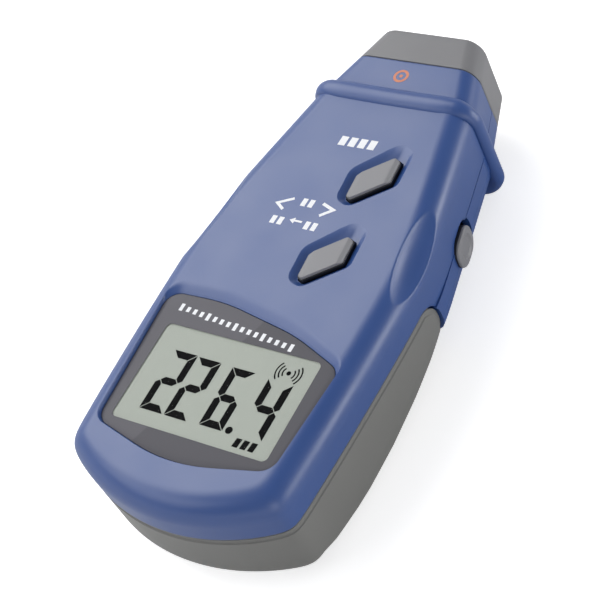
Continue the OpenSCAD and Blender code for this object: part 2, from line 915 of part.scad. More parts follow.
// Grey cover over the battery, open at the top and at its front edge
module battery_cover() {
    color([0.47, 0.47, 0.45])
        difference() {
            union() {
                intersection() {
                    cover_volume();
                    cover_profile(-rim_w);
                }
                intersection() {
                    cover_volume(rim_step);
                    cover_profile();
                }
            }
            difference() {
                cover_volume(cover_wall, 4 * cover_wall);
                // Lips that hook over the rails of the rear case
                for (s = [-1, 1])
                    scale([s, 1, 1])
                        translate([rail_x + rail_t + slide_gap, rail_y0, cover_z - lip_drop - lip_t])
                            cube([grip_x, rail_y1 - rail_y0, lip_t]);
            }
            translate([-2 * grip_x, 2 * end_y, cover_z - fit]) cube([4 * grip_x, -3 * end_y, over]);
        }
}

// Foam pad glued to the floor of the battery cover
module battery_pad() {
    color([0.16, 0.16, 0.17])
        translate([-pad_w / 2, pad_y - pad_l / 2, cover_wall])
            cube([pad_w, pad_l, battery_z - slide_gap - cover_wall]);
}

// Grey cap on the nose, with the mouth of the optics
module nose_cap() {
    color([0.52, 0.52, 0.51])
        difference() {
            union() {
                hull() {
                    cap_section(seam_y + slice, seam_x, 0);
                    cap_section(
                        tip_y - cap_edge,
                        tip_x + (seam_x - tip_x) * cap_edge / (tip_y - seam_y),
                        cap_drop
                    );
                    cap_section(tip_y, tip_x - cap_edge, cap_drop + cap_edge);
                }
                // Spigot inside the nose of the case
                intersection() {
                    nose_volume(seam_y - spigot_l, seam_y + cap_wall, -wall - fit);
                    translate([-2 * grip_x, seam_y - spigot_l, 0])
                        cube([4 * grip_x, spigot_l + cap_wall, 2 * face_z]);
                }
            }
            hull() {
                cap_section(
                    seam_y - spigot_l - over,
                    seam_x + nose_lean * spigot_l - wall - fit - spigot_t,
                    wall + fit + spigot_t
                );
                cap_section(tip_y - cap_front, tip_x - cap_wall - cap_edge, cap_wall + cap_edge);
            }
            mouth(0, tip_y - 2 * cap_front, tip_y + over);
        }
}

// Section of the nose cap at y, with its top and bottom drawn in by d
module cap_section(y, half, d) {
    cross_section(y, half, nose_z + d, face_z - nose_drop - d, nose_r - d / 2, nose_r - d / 2);
}

// Opening at the front of the nose cap, grown by g, between y0 and y1
module mouth(g, y0, y1) {
    translate([0, y1, 0])
        rotate([90, 0, 0])
            linear_extrude(y1 - y0)
                polygon(rounded([
                    [mouth_x + g, mouth_z0 - g, mouth_r + g],
                    [mouth_x + g, mouth_z1 + g, mouth_r + g],
                    [-mouth_x - g, mouth_z1 + g, mouth_r + g],
                    [-mouth_x - g, mouth_z0 - g, mouth_r + g]
                ]));
}

// Dark filter plate behind the mouth of the nose cap
module nose_window() {
    color([0.25, 0.05, 0.06, 0.7])
        mouth(filter_rim, tip_y - cap_front - filter_t, tip_y - cap_front);
}

// Half-round guard bead round the neck
module collar_ring() {
    color([0.40, 0.45, 0.64])
        difference() {
            hull() {
                for (i = [-edge_steps + 2:edge_steps - 2]) {
                    a = 90 * i / (edge_steps - 2);
                    d = bead_r * (1 - cos(a));
                    cross_section(
                        collar_y + bead_r * sin(a),
                        collar_x - d,
                        d,
                        collar_z - d,
                        collar_r - d / 2,
                        collar_r - d / 2
                    );
                }
            }
            body_volume();
            nose_volume(nose_start_y, seam_y);
            // Clear of the hollow between the case volumes
            translate([-neck_x / 2, collar_y - 2 * bead_r, back_z + wall])
                cube([neck_x, 4 * bead_r, face_z - back_z - 2 * wall]);
        }
}

// Window plate, clear in the middle, with a printed border
module display_window() {
    color([0.40, 0.40, 0.42])
        translate([0, 0, seat_z]) linear_extrude(window_t) plate_outline();
}

// Liquid crystal display
module lcd_glass() {
    color([0.68, 0.70, 0.66])
        translate([-glass_x, glass_y0, glass_z - glass_t])
            cube([2 * glass_x, glass_y1 - glass_y0, glass_t]);
}

// Frame that holds the display glass and the contact strips over the board
module lcd_holder() {
    color([0.85, 0.85, 0.83])
        difference() {
            translate([-glass_x - holder_wall, glass_y0 - holder_wall + fit, board_z])
                cube([
                    2 * (glass_x + holder_wall),
                    glass_y1 - glass_y0 + 2 * holder_wall - 2 * fit,
                    glass_z - board_z
                ]);
            translate([-glass_x - fit, glass_y0 - fit, glass_z - glass_t])
                cube([2 * (glass_x + fit), glass_y1 - glass_y0 + 2 * fit, glass_t + over]);
            translate([-strip_x - fit, glass_y0 + strip_inset - fit, board_z - over])
                cube([2 * (strip_x + fit), strip_w + 2 * fit, 2 * glass_t + strip_t]);
            translate([-strip_x - fit, glass_y1 - strip_inset - strip_w - fit, board_z - over])
                cube([2 * (strip_x + fit), strip_w + 2 * fit, 2 * glass_t + strip_t]);
            translate([-strip_x, glass_y0 + 2 * strip_inset + 2 * strip_w, board_z - over])
                cube([
                    2 * strip_x,
                    glass_y1 - glass_y0 - 4 * strip_inset - 4 * strip_w,
                    2 * glass_t + strip_t
                ]);
        }
}

// Elastomer strips between display glass and board
module contact_strips() {
    color([0.80, 0.55, 0.62])
        for (y = [glass_y0 + strip_inset, glass_y1 - strip_inset - strip_w])
            translate([-strip_x, y, board_z]) cube([2 * strip_x, strip_w, strip_t]);
}

// Main circuit board
module main_board() {
    color([0.10, 0.38, 0.20])
        difference() {
            translate([0, 0, board_under])
                linear_extrude(board_t)
                    polygon(rounded([
                        [board_x, board_y0, board_corner_r],
                        [board_x, board_y1, board_corner_r],
                        [board_neck_x, board_y1, 0],
                        [board_neck_x, board_y2, board_corner_r],
                        [-board_neck_x, board_y2, board_corner_r],
                        [-board_neck_x, board_y1, 0],
                        [-board_x, board_y1, board_corner_r],
                        [-board_x, board_y0, board_corner_r]
                    ]));
            for (x = [-post_x, post_x])
                translate([x, post_y, board_under - over]) cylinder(h = 2 * board_t, r = board_screw_r + fit);
            for (x = [-front_post_x, front_post_x])
                translate([x, front_post_y, board_under - over])
                    cylinder(h = 2 * board_t, r = board_screw_r + fit);
        }
}

// Screws of the main board
module board_screws() {
    color([0.75, 0.75, 0.77]) {
        for (x = [-post_x, post_x])
            translate([x, post_y, board_under - board_screw_head_t])
                screw(post_hole_r, board_screw_head_r, board_screw_head_t, board_screw_l);
        for (x = [-front_post_x, front_post_x])
            translate([x, front_post_y, board_under - board_screw_head_t])
                screw(post_hole_r, board_screw_head_r, board_screw_head_t, board_screw_l);
    }
}

// Controller on the underside of the main board
module controller_chip() {
    color([0.09, 0.09, 0.10])
        translate([-chip_w / 2, chip_y - chip_w / 2, board_under - chip_t]) cube([chip_w, chip_w, chip_t]);
}

// Amplifier and memory on the underside, ahead of the bulkhead
module small_chips() {
    color([0.09, 0.09, 0.10])
        for (y = [amplifier_y, memory_y])
            translate([small_chip_x - small_chip_l / 2, y - small_chip_w / 2, board_under - chip_t])
                cube([small_chip_l, small_chip_w, chip_t]);
}

// Crystal in its can
module crystal() {
    color([0.78, 0.78, 0.80])
        translate([0, can_y, board_under - can_t])
            linear_extrude(can_t)
                polygon(rounded([
                    [can_l / 2, -can_w / 2, can_w / 2.1],
                    [can_l / 2, can_w / 2, can_w / 2.1],
                    [-can_l / 2, can_w / 2, can_w / 2.1],
                    [-can_l / 2, -can_w / 2, can_w / 2.1]
                ]));
}

// Electrolytic capacitors standing on the underside
module capacitors() {
    color([0.15, 0.17, 0.30])
        for (p = cap_places)
            translate([p[0], p[1], board_under - cap_h]) cylinder(h = cap_h, r = cap_r);
}

// Push switches under the face keys
module key_switches() {
    color([0.20, 0.20, 0.21])
        for (y = [upper_key_y, lower_key_y])
            translate([key_x, y, board_z]) {
                translate([-switch_w / 2, -switch_w / 2, 0]) cube([switch_w, switch_w, switch_t]);
                translate([0, 0, switch_t - over]) cylinder(h = plunger_t + over, r = plunger_r);
            }
}

// Black plunger of a face key: body, flange under the case and stem over the switch
module key_plunger(y) {
    color([0.07, 0.07, 0.08])
        translate([key_x, y, 0])
            difference() {
                union() {
                    key_prism(0, key_flange_z - key_flange_t / 2, face_z + key_rise - key_cap_t / 2);
                    key_prism(key_flange_grow, key_flange_z - key_flange_t, key_flange_z);
                    translate([0, 0, key_stem_z]) cylinder(h = key_flange_z - key_stem_z, r = key_stem_r);
                }
                key_prism(-key_cap_inset, face_z + key_rise - key_cap_t, face_z + 2 * key_cap_t);
            }
}

// Grey cap set into the plunger
module key_cap(y) {
    color([0.62, 0.62, 0.61])
        translate([key_x, y, 0])
            key_prism(-key_cap_inset, face_z + key_rise - key_cap_t, face_z + key_rise);
}

module upper_key() {
    key_plunger(upper_key_y);
}

module upper_key_cap() {
    key_cap(upper_key_y);
}

module lower_key() {
    key_plunger(lower_key_y);
}

module lower_key_cap() {
    key_cap(lower_key_y);
}

// Grey key on the right flank, dished for the finger
module side_key() {
    color([0.45, 0.45, 0.44])
        difference() {
            union() {
                side_prism(side_key_l, side_key_h, side_key_r, -wall - side_flange_t, side_key_rise);
                side_prism(
                    side_key_l + 2 * side_flange,
                    side_key_h + 2 * side_flange,
                    side_key_r + side_flange,
                    -wall - side_flange_t - slide_gap,
                    -wall - slide_gap
                );
                translate([flank_x, side_key_y, side_key_z])
                    rotate([0, 0, flank_turn])
                        translate([-wall - side_flange_t - side_stem_l, 0, 0])
                            rotate([0, 90, 0])
                                cylinder(h = side_stem_l + side_flange_t, r = side_stem_r);
            }
            translate([flank_x, side_key_y, side_key_z])
                rotate([0, 0, flank_turn])
                    translate([side_key_rise - side_dish_depth + side_dish_r, 0, 0])
                        rotate([90, 0, 0])
                            translate([0, 0, -side_key_l])
                                cylinder(h = 2 * side_key_l, r = side_dish_r, $fn = 96);
        }
}

// Push switch behind the side key
module side_switch() {
    color([0.20, 0.20, 0.21])
        translate([flank_x, side_key_y, side_key_z])
            rotate([0, 0, flank_turn])
                translate([-side_depth + board_t / 2, 0, 0]) {
                    translate([0, -switch_w / 2, -switch_w / 2]) cube([switch_t, switch_w, switch_w]);
                    translate([switch_t - over, 0, 0])
                        rotate([0, 90, 0]) cylinder(h = plunger_t + over, r = plunger_r);
                }
}

// Small board that carries the side switch
module side_switch_board() {
    color([0.10, 0.38, 0.20])
        translate([flank_x, side_key_y, back_z + wall])
            rotate([0, 0, flank_turn])
                translate([-side_depth - board_t / 2, -side_board_l / 2, fit])
                    cube([board_t, side_board_l, side_board_h]);
}

// Black block in the nose that holds lens, laser and sensor
module optics_holder() {
    color([0.08, 0.08, 0.09])
        difference() {
            translate([0, optics_y1, 0])
                rotate([90, 0, 0])
                    linear_extrude(optics_y1 - optics_y0)
                        polygon(rounded([
                            [optics_x, optics_z0, optics_r],
                            [optics_x, optics_z1, optics_r],
                            [-optics_x, optics_z1, optics_r],
                            [-optics_x, optics_z0, optics_r]
                        ]));
            translate([lens_x, optics_y0 - over, optic_z])
                rotate([-90, 0, 0]) cylinder(h = 2 * optics_y1, r = bore_inner_r);
            translate([lens_x, lens_y, optic_z])
                rotate([-90, 0, 0]) cylinder(h = optics_y1, r = lens_d / 2 + fit / 3);
            translate([laser_x, optics_y0 - over, optic_z])
                rotate([-90, 0, 0]) cylinder(h = 2 * optics_y1, r = laser_d / 2 + fit / 3);
            for (x = [-foot_x, foot_x])
                translate([x, optics_y0 + fit + foot_l / 2, optics_z0 - over])
                    cylinder(h = pin_l, r = board_screw_r + fit);
        }
}

// Pins in the feet that locate the optics holder
module locating_pins() {
    color([0.75, 0.75, 0.77])
        for (x = [-foot_x, foot_x])
            translate([x, optics_y0 + fit + foot_l / 2, nose_z + wall + over])
                cylinder(h = pin_l, r = post_hole_r);
}

// Plano-convex lens of the receiver
module receiver_lens() {
    color([0.75, 0.85, 0.90, 0.5])
        translate([lens_x, lens_y, optic_z])
            rotate([-90, 0, 0])
                rotate_extrude($fn = 64)
                    intersection() {
                        translate([0, lens_edge_t + lens_bulge - lens_arc_r])
                            circle(r = lens_arc_r, $fn = 128);
                        square([lens_d / 2, lens_edge_t + lens_bulge]);
                    }
}

// Board at the back of the optics holder
module sensor_board() {
    color([0.10, 0.38, 0.20])
        translate([lens_x - sensor_w / 2, optics_y0 - board_t, optic_z - sensor_h / 2])
            cube([sensor_w - laser_ring_t, board_t, sensor_h]);
}

// Photodiode on that board, in the lens bore
module photodiode() {
    color([0.12, 0.12, 0.14])
        translate([lens_x, optics_y0, optic_z])
            rotate([-90, 0, 0]) cylinder(h = diode_t, r = diode_r);
}

// Brass barrel of the laser
module laser_barrel() {
    color([0.72, 0.58, 0.30])
        difference() {
            union() {
                translate([laser_x, laser_y0, optic_z])
                    rotate([-90, 0, 0]) cylinder(h = laser_y1 - laser_y0, r = laser_d / 2);
                translate([laser_x, laser_y1 - laser_ring_t, optic_z])
                    rotate([-90, 0, 0]) cylinder(h = laser_ring_t, r = laser_ring_r);
            }
            translate([laser_x, laser_y1 - 2 * laser_lens_t, optic_z])
                rotate([-90, 0, 0]) cylinder(h = laser_y1, r = laser_lens_r + fit / 3);
            translate([laser_x, laser_y0 + 2 * laser_lens_t, optic_z])
                rotate([-90, 0, 0]) cylinder(h = laser_y1, r = laser_mouth_r);
        }
}

// Lens at the mouth of the laser barrel
module laser_lens() {
    color([0.75, 0.85, 0.90, 0.5])
        translate([laser_x, laser_y1 - 2 * laser_lens_t, optic_z])
            rotate([-90, 0, 0]) cylinder(h = laser_lens_t, r = laser_lens_r);
}

// 9 V battery with its two studs
module battery() {
    color([0.10, 0.10, 0.11]) {
        translate([0, battery_y0 + battery_l, 0])
            rotate([90, 0, 0])
                linear_extrude(battery_l)
                    polygon(rounded([
                        [battery_w / 2, battery_z, battery_r],
                        [battery_w / 2, battery_z + battery_t, battery_r],
                        [-battery_w / 2, battery_z + battery_t, battery_r],
                        [-battery_w / 2, battery_z, battery_r]
                    ]));
        for (s = [-1, 1])
            translate([s * stud_x, battery_y0 + battery_l - over, battery_z + battery_t / 2])
                rotate([-90, 0, 0]) cylinder(h = stud_t + over, r = s > 0 ? stud_r : stud_r * 0.75);
    }
}

// Snap clip on the battery's studs
module battery_clip() {
    color([0.12, 0.12, 0.13])
        difference() {
            translate([0, battery_y0 + battery_l + clip_gap + clip_t, 0])
                rotate([90, 0, 0])
                    linear_extrude(clip_t)
                        polygon(rounded([
                            [clip_w / 2, battery_z + (battery_t - clip_h) / 2, clip_r],
                            [clip_w / 2, battery_z + (battery_t + clip_h) / 2, clip_r],
                            [-clip_w / 2, battery_z + (battery_t + clip_h) / 2, clip_r],
                            [-clip_w / 2, battery_z + (battery_t - clip_h) / 2, clip_r]
                        ]));
            for (s = [-1, 1])
                translate([s * stud_x, battery_y0 + battery_l - over, battery_z + battery_t / 2])
                    rotate([-90, 0, 0])
                        cylinder(h = stud_t + 2 * over, r = (s > 0 ? stud_r : stud_r * 0.75) + fit / 3);
        }
}

module battery_lead_positive() {
    color([0.70, 0.08, 0.07]) tube(positive_route, lead_r);
}

module battery_lead_negative() {
    color([0.06, 0.06, 0.07]) tube(negative_route, lead_r);
}

module laser_leads() {
    color([0.70, 0.08, 0.07])
        for (p = laser_routes)
            tube(p, signal_r);
}

module sensor_leads() {
    color([0.85, 0.80, 0.25])
        for (p = sensor_routes)
            tube(p, signal_r);
}

// Screws of the case
module case_screws() {
    color([0.75, 0.75, 0.77]) {
        for (x = [-front_boss_x, front_boss_x])
            translate([x, front_boss_y, back_z + wall - screw_head_t])
                screw(pilot_r, screw_head_r, screw_head_t, front_screw_l);
        for (x = [-aft_boss_x, aft_boss_x])
            translate([x, aft_boss_y, cover_z - screw_head_t])
                screw(pilot_r, screw_head_r, screw_head_t, aft_screw_l);
    }
}

front_case();
rear_case();
battery_cover();
battery_pad();
nose_cap();
nose_window();
collar_ring();
display_window();
lcd_glass();
lcd_holder();
contact_strips();
main_board();
board_screws();
controller_chip();
small_chips();
crystal();
capacitors();
key_switches();
upper_key();
upper_key_cap();
lower_key();
lower_key_cap();
side_key();
side_switch();
side_switch_board();
optics_holder();
locating_pins();
receiver_lens();
sensor_board();
photodiode();
laser_barrel();
laser_lens();
battery();
battery_clip();
battery_lead_positive();
battery_lead_negative();
laser_leads();
sensor_leads();
case_screws();
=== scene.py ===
"""Looks of a hand-held laser tachometer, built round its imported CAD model. Pieces are drawn in millimetres
and `piece` turns them into metres; camera, lamps and table are set out in metres. The meter lies on its
back: +Z up, +Y toward the nose, side key on +X."""

import math

import bmesh
import bpy
import numpy as np
from mathutils import Matrix, Vector
from mathutils.geometry import delaunay_2d_cdt


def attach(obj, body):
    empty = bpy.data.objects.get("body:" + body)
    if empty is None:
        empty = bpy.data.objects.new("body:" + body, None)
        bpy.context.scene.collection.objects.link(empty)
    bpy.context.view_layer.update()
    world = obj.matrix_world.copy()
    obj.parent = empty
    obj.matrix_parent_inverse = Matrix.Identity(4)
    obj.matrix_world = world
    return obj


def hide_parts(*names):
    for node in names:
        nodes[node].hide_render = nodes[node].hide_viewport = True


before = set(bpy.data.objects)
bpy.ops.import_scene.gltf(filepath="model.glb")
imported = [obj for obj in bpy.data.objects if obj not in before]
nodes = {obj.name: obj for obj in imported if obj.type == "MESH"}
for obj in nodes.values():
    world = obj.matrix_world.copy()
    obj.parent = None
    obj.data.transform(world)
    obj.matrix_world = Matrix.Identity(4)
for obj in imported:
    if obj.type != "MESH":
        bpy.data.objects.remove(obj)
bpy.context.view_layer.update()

# Table, backdrop and light
# A photographer's white table runs far past the meter, and a large soft box stands over the left of the nose.
# The camera looks down on the face from the side-key side, a little turned about its own axis.
scene = bpy.context.scene
scene.view_settings.view_transform = "Standard"

camera_place = (0.24995, -0.19621, 0.35678)
camera_right = Vector((0.81390, 0.46800, -0.34430))
camera_down = Vector((0.19898, -0.78128, -0.59160))
camera_ahead = Vector((-0.54587, 0.41300, -0.72901))
lens_data = bpy.data.cameras.new("camera")
lens_data.sensor_width = 36
lens_data.lens = 103.74
lens_data.clip_start = 0.01
lens_data.clip_end = 20
camera = bpy.data.objects.new("camera", lens_data)
scene.collection.objects.link(camera)
turn = Matrix((camera_right, -camera_down, -camera_ahead)).transposed()
camera.matrix_world = Matrix.Translation(camera_place) @ turn.to_4x4()
scene.camera = camera


def socket_value(node, **values):
    """Writes plain numbers and colours onto the input sockets of a node."""
    for name, value in values.items():
        node.inputs[name.replace("_", " ")].default_value = value


def new_nodes(tree, *kinds):
    """New shader nodes of the kinds named, in the same order."""
    return [tree.nodes.new("ShaderNode" + kind) for kind in kinds]


def join(tree, *links):
    """Makes links, each given as a node, its output, the next node and its input."""
    for start, output, end, entry in links:
        tree.links.new(start.outputs[output], end.inputs[entry])


def srgb(r, g, b):
    """Linear colour of an 8-bit screen colour: the power curve of the sRGB standard above its short straight
    foot."""
    c = np.array([r, g, b]) / 255
    return (*np.where(c <= 0.04045, c / 12.92, ((c + 0.055) / 1.055) ** 2.4).tolist(), 1.0)


def material(name, colour, roughness, **values):
    """A material with one Principled shader, returned with its node tree and that shader."""
    made = bpy.data.materials.new(name)
    made.use_nodes = True
    shader = made.node_tree.nodes["Principled BSDF"]
    socket_value(shader, Base_Color=colour, Roughness=roughness, **values)
    return made, made.node_tree, shader


table_top = -0.0002
table_reach = 6.0
table_white = 0.82
table_lift = 0.62
corners = [(-table_reach, -table_reach, table_top), (table_reach, -table_reach, table_top),
           (table_reach, table_reach, table_top), (-table_reach, table_reach, table_top)]
table_mesh = bpy.data.meshes.new("table_top")
table_mesh.from_pydata(corners, [], [(0, 1, 2, 3)])
table_piece = bpy.data.objects.new("table_top", table_mesh)
scene.collection.objects.link(table_piece)
table_look, tree, shader = material("white_table", (table_white, table_white, table_white, 1), 0.9)
socket_value(shader, Specular_IOR_Level=0.1, Emission_Color=(1, 1, 1, 1))
rays, lift = new_nodes(tree, "LightPath", "Math")
lift.operation = "MULTIPLY"
lift.inputs[1].default_value = table_lift
join(tree, (rays, "Is Camera Ray", lift, 0), (lift, 0, shader, "Emission Strength"))
table_mesh.materials.append(table_look)

world = bpy.data.worlds.new("room")
scene.world = world
world.use_nodes = True
# The room is dim overhead and bright in a band round the horizon, as white walls and cards beside a table are
sky = world.node_tree
room = sky.nodes["Background"]
socket_value(room, Color=(0.95, 0.96, 1.0, 1))
toward, split, glow = new_nodes(sky, "TexCoord", "SeparateXYZ", "MapRange")
glow.interpolation_type = "SMOOTHSTEP"
socket_value(glow, From_Min=0.02, From_Max=0.34, To_Min=1.5, To_Max=0.34)
join(sky, (toward, "Generated", split, 0), (split, "Z", glow, "Value"), (glow, "Result", room, "Strength"))


def soft_box(name, direction, distance, width, height, power):
    """An area lamp that stands off in a direction from the middle of the meter and faces it."""
    data = bpy.data.lights.new(name, "AREA")
    data.shape = "RECTANGLE"
    data.size, data.size_y, data.energy = width, height, power
    lamp = bpy.data.objects.new(name, data)
    scene.collection.objects.link(lamp)
    away = Vector(direction).normalized()
    lamp.location = away * distance
    lamp.rotation_euler = away.to_track_quat("Z", "Y").to_euler()


soft_box("key_box", (-0.62, 0.26, 0.74), 1.1, 1.0, 0.9, 9.2)
soft_box("side_box", (0.75, -0.62, 0.35), 1.2, 0.6, 0.4, 1.6)
soft_box("right_card", (0.86, 0.50, 0.08), 1.2, 1.0, 0.3, 6.0)
soft_box("foot_card", (-0.55, -0.50, 0.67), 1.2, 0.9, 0.5, 3.0)

# Front case
# The blue upper half of the moulded ABS case. Its flat face rolls over a wide shoulder into upright flanks.
# It has a dished grip on either side, a sunken seat for the window and a dish round each face key.
face_z, shoulder_r, shoulder_foot = 35.5, 7.0, 28.5
bow_centre_y, bow_r = -23.0, 57.0
neck, grip, hip = np.array([26.0, 51.3]), np.array([36.0, 3.5]), np.array([35.7, -48.0])
heel = np.array([34.2, bow_centre_y - math.sqrt(bow_r ** 2 - 34.2 ** 2)])
corner_blend = 1.1
collar_hide_y = 52.6
case_wall = 2.2
flank_turn = math.atan((grip[0] - neck[0]) / (neck[1] - grip[1]))


def line_depth(x, y, a, b):
    """Depth of points inside a straight edge that runs from a to b with the meter on its left."""
    t = (b - a) / np.linalg.norm(b - a)
    return (y - a[1]) * t[0] - (x - a[0]) * t[1]


def depth(x, y):
    """Depth inside the case outline seen from above: the soft minimum of the depths inside its flanks and
    bow. The soft minimum is minus k times the log of the summed exponentials of minus depth over k."""
    x = np.abs(x)
    edges = [line_depth(x, y, grip, neck), line_depth(x, y, hip, grip), line_depth(x, y, heel, hip),
             bow_r - np.hypot(x, np.minimum(y - bow_centre_y, 0))]
    e = np.stack(edges)
    low = e.min(0)
    return low - corner_blend * np.log(np.exp(-(e - low) / corner_blend).sum(0))


def quarter(run, radius):
    """Height of a quarter circle at a distance along from its level crown."""
    return np.sqrt(np.clip(radius ** 2 - np.clip(run, 0, radius) ** 2, 0, None))


def face_height(x, y):
    """Height of the face and its shoulder over (x, y): a quarter circle over the depth that ends level."""
    return shoulder_foot + quarter(shoulder_r - depth(x, y), shoulder_r)


def circle(turns):
    """Points of the unit circle at the angles given."""
    return np.stack([np.cos(turns), np.sin(turns)], 1)


def rounded(corners, steps=10):
    """Outline through corners given counter-clockwise as (x, y, radius), each turned into an arc."""
    k = np.array(corners, float)
    points = []
    for i in range(len(k)):
        p, a, b, r = k[i, :2], k[i - 1, :2], k[(i + 1) % len(k), :2], k[i, 2]
        u, v = (a - p) / np.linalg.norm(a - p), (b - p) / np.linalg.norm(b - p)
        half = math.acos(np.clip(u @ v, -1, 1)) / 2
        c = p + (u + v) / np.linalg.norm(u + v) * r / math.sin(half)
        s, e = p + u * r / math.tan(half) - c, p + v * r / math.tan(half) - c
        a0 = math.atan2(s[1], s[0])
        turn = (math.atan2(e[1], e[0]) - a0 + math.pi) % (2 * math.pi) - math.pi
        ang = a0 + turn * np.linspace(0, 1, steps)
        points.append(c + r * circle(ang))
    return np.concatenate(points)


def run_of(points):
    """Distance run along a line at each of its points."""
    return np.concatenate([[0], np.cumsum(np.linalg.norm(np.diff(points, axis=0), axis=1))])


def at_run(places, run, points):
    """Points of a line at places along it, where run holds the place of each of its own points."""
    return np.stack([np.interp(places, run, column) for column in points.T], 1)


def right_of(directions):
    """Unit directions that lie square to the right of the ones given."""
    return np.stack([directions[:, 1], -directions[:, 0]], 1) / np.linalg.norm(directions, axis=1)[:, None]


def even(points, count, closed=True):
    """The same line with count points spaced evenly along it. A closed line runs on to its first point."""
    p = np.vstack([points, points[:1]]) if closed else np.asarray(points)
    run = run_of(p)
    return at_run(np.linspace(0, run[-1], count, endpoint=not closed), run, p)


def grid_faces(rows, columns, closed=False):
    """Quads of a grid of points stored row after row; closed joins the last column to the first."""
    r, c = np.meshgrid(np.arange(rows - 1), np.arange(columns if closed else columns - 1), indexing="ij")
    n = (c + 1) % columns
    here, ahead = r * columns, (r + 1) * columns
    return np.stack([here + c, here + n, ahead + n, ahead + c], -1).reshape(-1, 4)


def level(outline, z, centre=0):
    """Points of an outline round a centre at height z, a number or one for each point."""
    return np.column_stack([outline + centre, np.broadcast_to(z, len(outline))])


def stand(section, y):
    """Points of an upright section of (x, z) across the meter at y, a number or one for each point."""
    return np.column_stack([section[:, 0], np.broadcast_to(y, len(section)), section[:, 1]])


def piece(name, parts, body, look, stands_for=(), smooth=True, weld=0.004,
          outward=False):
    """One object from (points, faces) parts in millimetres: parts are joined, near points are welded,
    and it rides on its body with its look. Smooth may be an angle in degrees past which edges stay sharp,
    and outward=True lets the mesh turn all its faces outward."""
    start, all_points, all_faces = 0, [], []
    for points, faces in parts:
        points = np.asarray(points, float).reshape(-1, 3)
        all_points.append(points)
        all_faces += [tuple(int(i) + start for i in f) for f in faces]
        start += len(points)
    mesh = bpy.data.meshes.new(name)
    mesh.from_pydata((np.vstack(all_points) / 1000).tolist(), [], all_faces)
    work = bmesh.new()
    work.from_mesh(mesh)
    bmesh.ops.remove_doubles(work, verts=work.verts, dist=weld / 1000)
    bmesh.ops.dissolve_degenerate(work, dist=1e-7, edges=work.edges)
    if outward:
        bmesh.ops.recalc_face_normals(work, faces=work.faces)
    work.to_mesh(mesh)
    work.free()
    if smooth:
        mesh.shade_smooth()
    if smooth and smooth is not True:
        mesh.set_sharp_from_angle(angle=math.radians(smooth))
    made = bpy.data.objects.new(name, mesh)
    scene.collection.objects.link(made)
    mesh.materials.append(look)
    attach(made, body)
    if stands_for:
        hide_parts(*stands_for)
    return made


def flat_fill(outer, holes, height_over):
    """Triangles that fill an outline of (x, y) points round its holes, at the height over each point."""
    loops = [np.asarray(outer)] + [np.asarray(h) for h in holes]
    points, edges, start = np.vstack(loops), [], 0
    for loop in loops:
        edges += [(start + i, start + (i + 1) % len(loop)) for i in range(len(loop))]
        start += len(loop)
    verts, _, faces, *_ = delaunay_2d_cdt([Vector(p) for p in points.tolist()], edges, [], 0, 1e-6)
    v = np.array([tuple(p) for p in verts])
    f = np.array([tuple(t) for t in faces if len(t) == 3])
    middle = v[f].mean(1)
    inside = np.zeros(len(f), bool)
    for loop in loops:
        a, b = loop, np.roll(loop, -1, 0)
        above = (a[None, :, 1] > middle[:, None, 1]) != (b[None, :, 1] > middle[:, None, 1])
        rise = np.where(b[:, 1] == a[:, 1], 1, b[:, 1] - a[:, 1])
        cross = a[:, 0] + (middle[:, None, 1] - a[:, 1]) * (b[:, 0] - a[:, 0]) / rise
        inside ^= ((above & (middle[:, None, 0] < cross)).sum(1) % 2).astype(bool)
    f = f[inside]
    area = np.cross(v[f[:, 1]] - v[f[:, 0]], v[f[:, 2]] - v[f[:, 0]])
    f[area < 0] = f[area < 0][:, ::-1]
    return level(v, height_over(*v.T)), f


# The display recess as an outline on the face, and the window plate's outline at its foot
recess_corners = [(0, -68.4, 55), (28.2, -61.8, 5), (30.7, -27.6, 5), (13, -20, 60), (-12, -15.8, 60),
                  (-30.6, -16.8, 5), (-28.2, -61.8, 5)]
plate_corners = [(0, -67.9, 55), (27.8, -61.4, 4.6), (30.2, -30.4, 4.6), (13, -23.9, 60), (-12, -19.5, 60),
                 (-30.1, -20.2, 4.6), (-27.8, -61.4, 4.6)]
window_z = 34.3
recess_rim = rounded(recess_corners, 26)
recess_foot = rounded(plate_corners, 26)

# Grip dishes: a spindle of revolution lies along each shoulder and takes away what it reaches
grip_y, grip_turn, grip_half, grip_deep, grip_round = 3.2, math.radians(10.0), 17.0, 2.0, 9.5
grip_soft, grip_reach = 0.07, 24.0
grip_arc_r = (grip_half ** 2 + grip_deep ** 2) / (2 * grip_deep)
grip_tilt, grip_floor = math.radians(44), 6.2
grip_along = np.array([-math.sin(grip_turn), math.cos(grip_turn), 0])
grip_out = np.array([math.cos(grip_tilt) * math.cos(grip_turn), math.cos(grip_tilt) * math.sin(grip_turn),
                     math.sin(grip_tilt)])
grip_start = np.array([26.4, grip_y, shoulder_foot])


def with_grips(points):
    """Points of the shoulder pressed in by the grip spindles. Along a spindle its radius falls as an arc's
    sagitta. A point moves inward along the diagonal by the soft positive part of its depth in the spindle."""
    mirror = np.where(points[:, :1] < 0, [-1.0, 1.0, 1.0], [1.0, 1.0, 1.0])
    q = points * mirror - grip_start
    along = q @ grip_along
    out = q @ grip_out
    across = q @ np.cross(grip_along, grip_out)
    radius = grip_round - grip_arc_r + np.sqrt(np.clip(grip_arc_r ** 2 - along ** 2, 0, None))
    axis = grip_round + grip_floor
    floor = axis - np.sqrt(np.clip(radius ** 2 - across ** 2, 0, None))
    floor = np.where(radius > np.abs(across), floor, 1e3)
    deep = out - floor
    press = grip_soft * np.logaddexp(0, np.clip(deep / grip_soft, -60, 60)) * (np.abs(along) < grip_reach)
    return (q - press[:, None] * grip_out + grip_start) * mirror


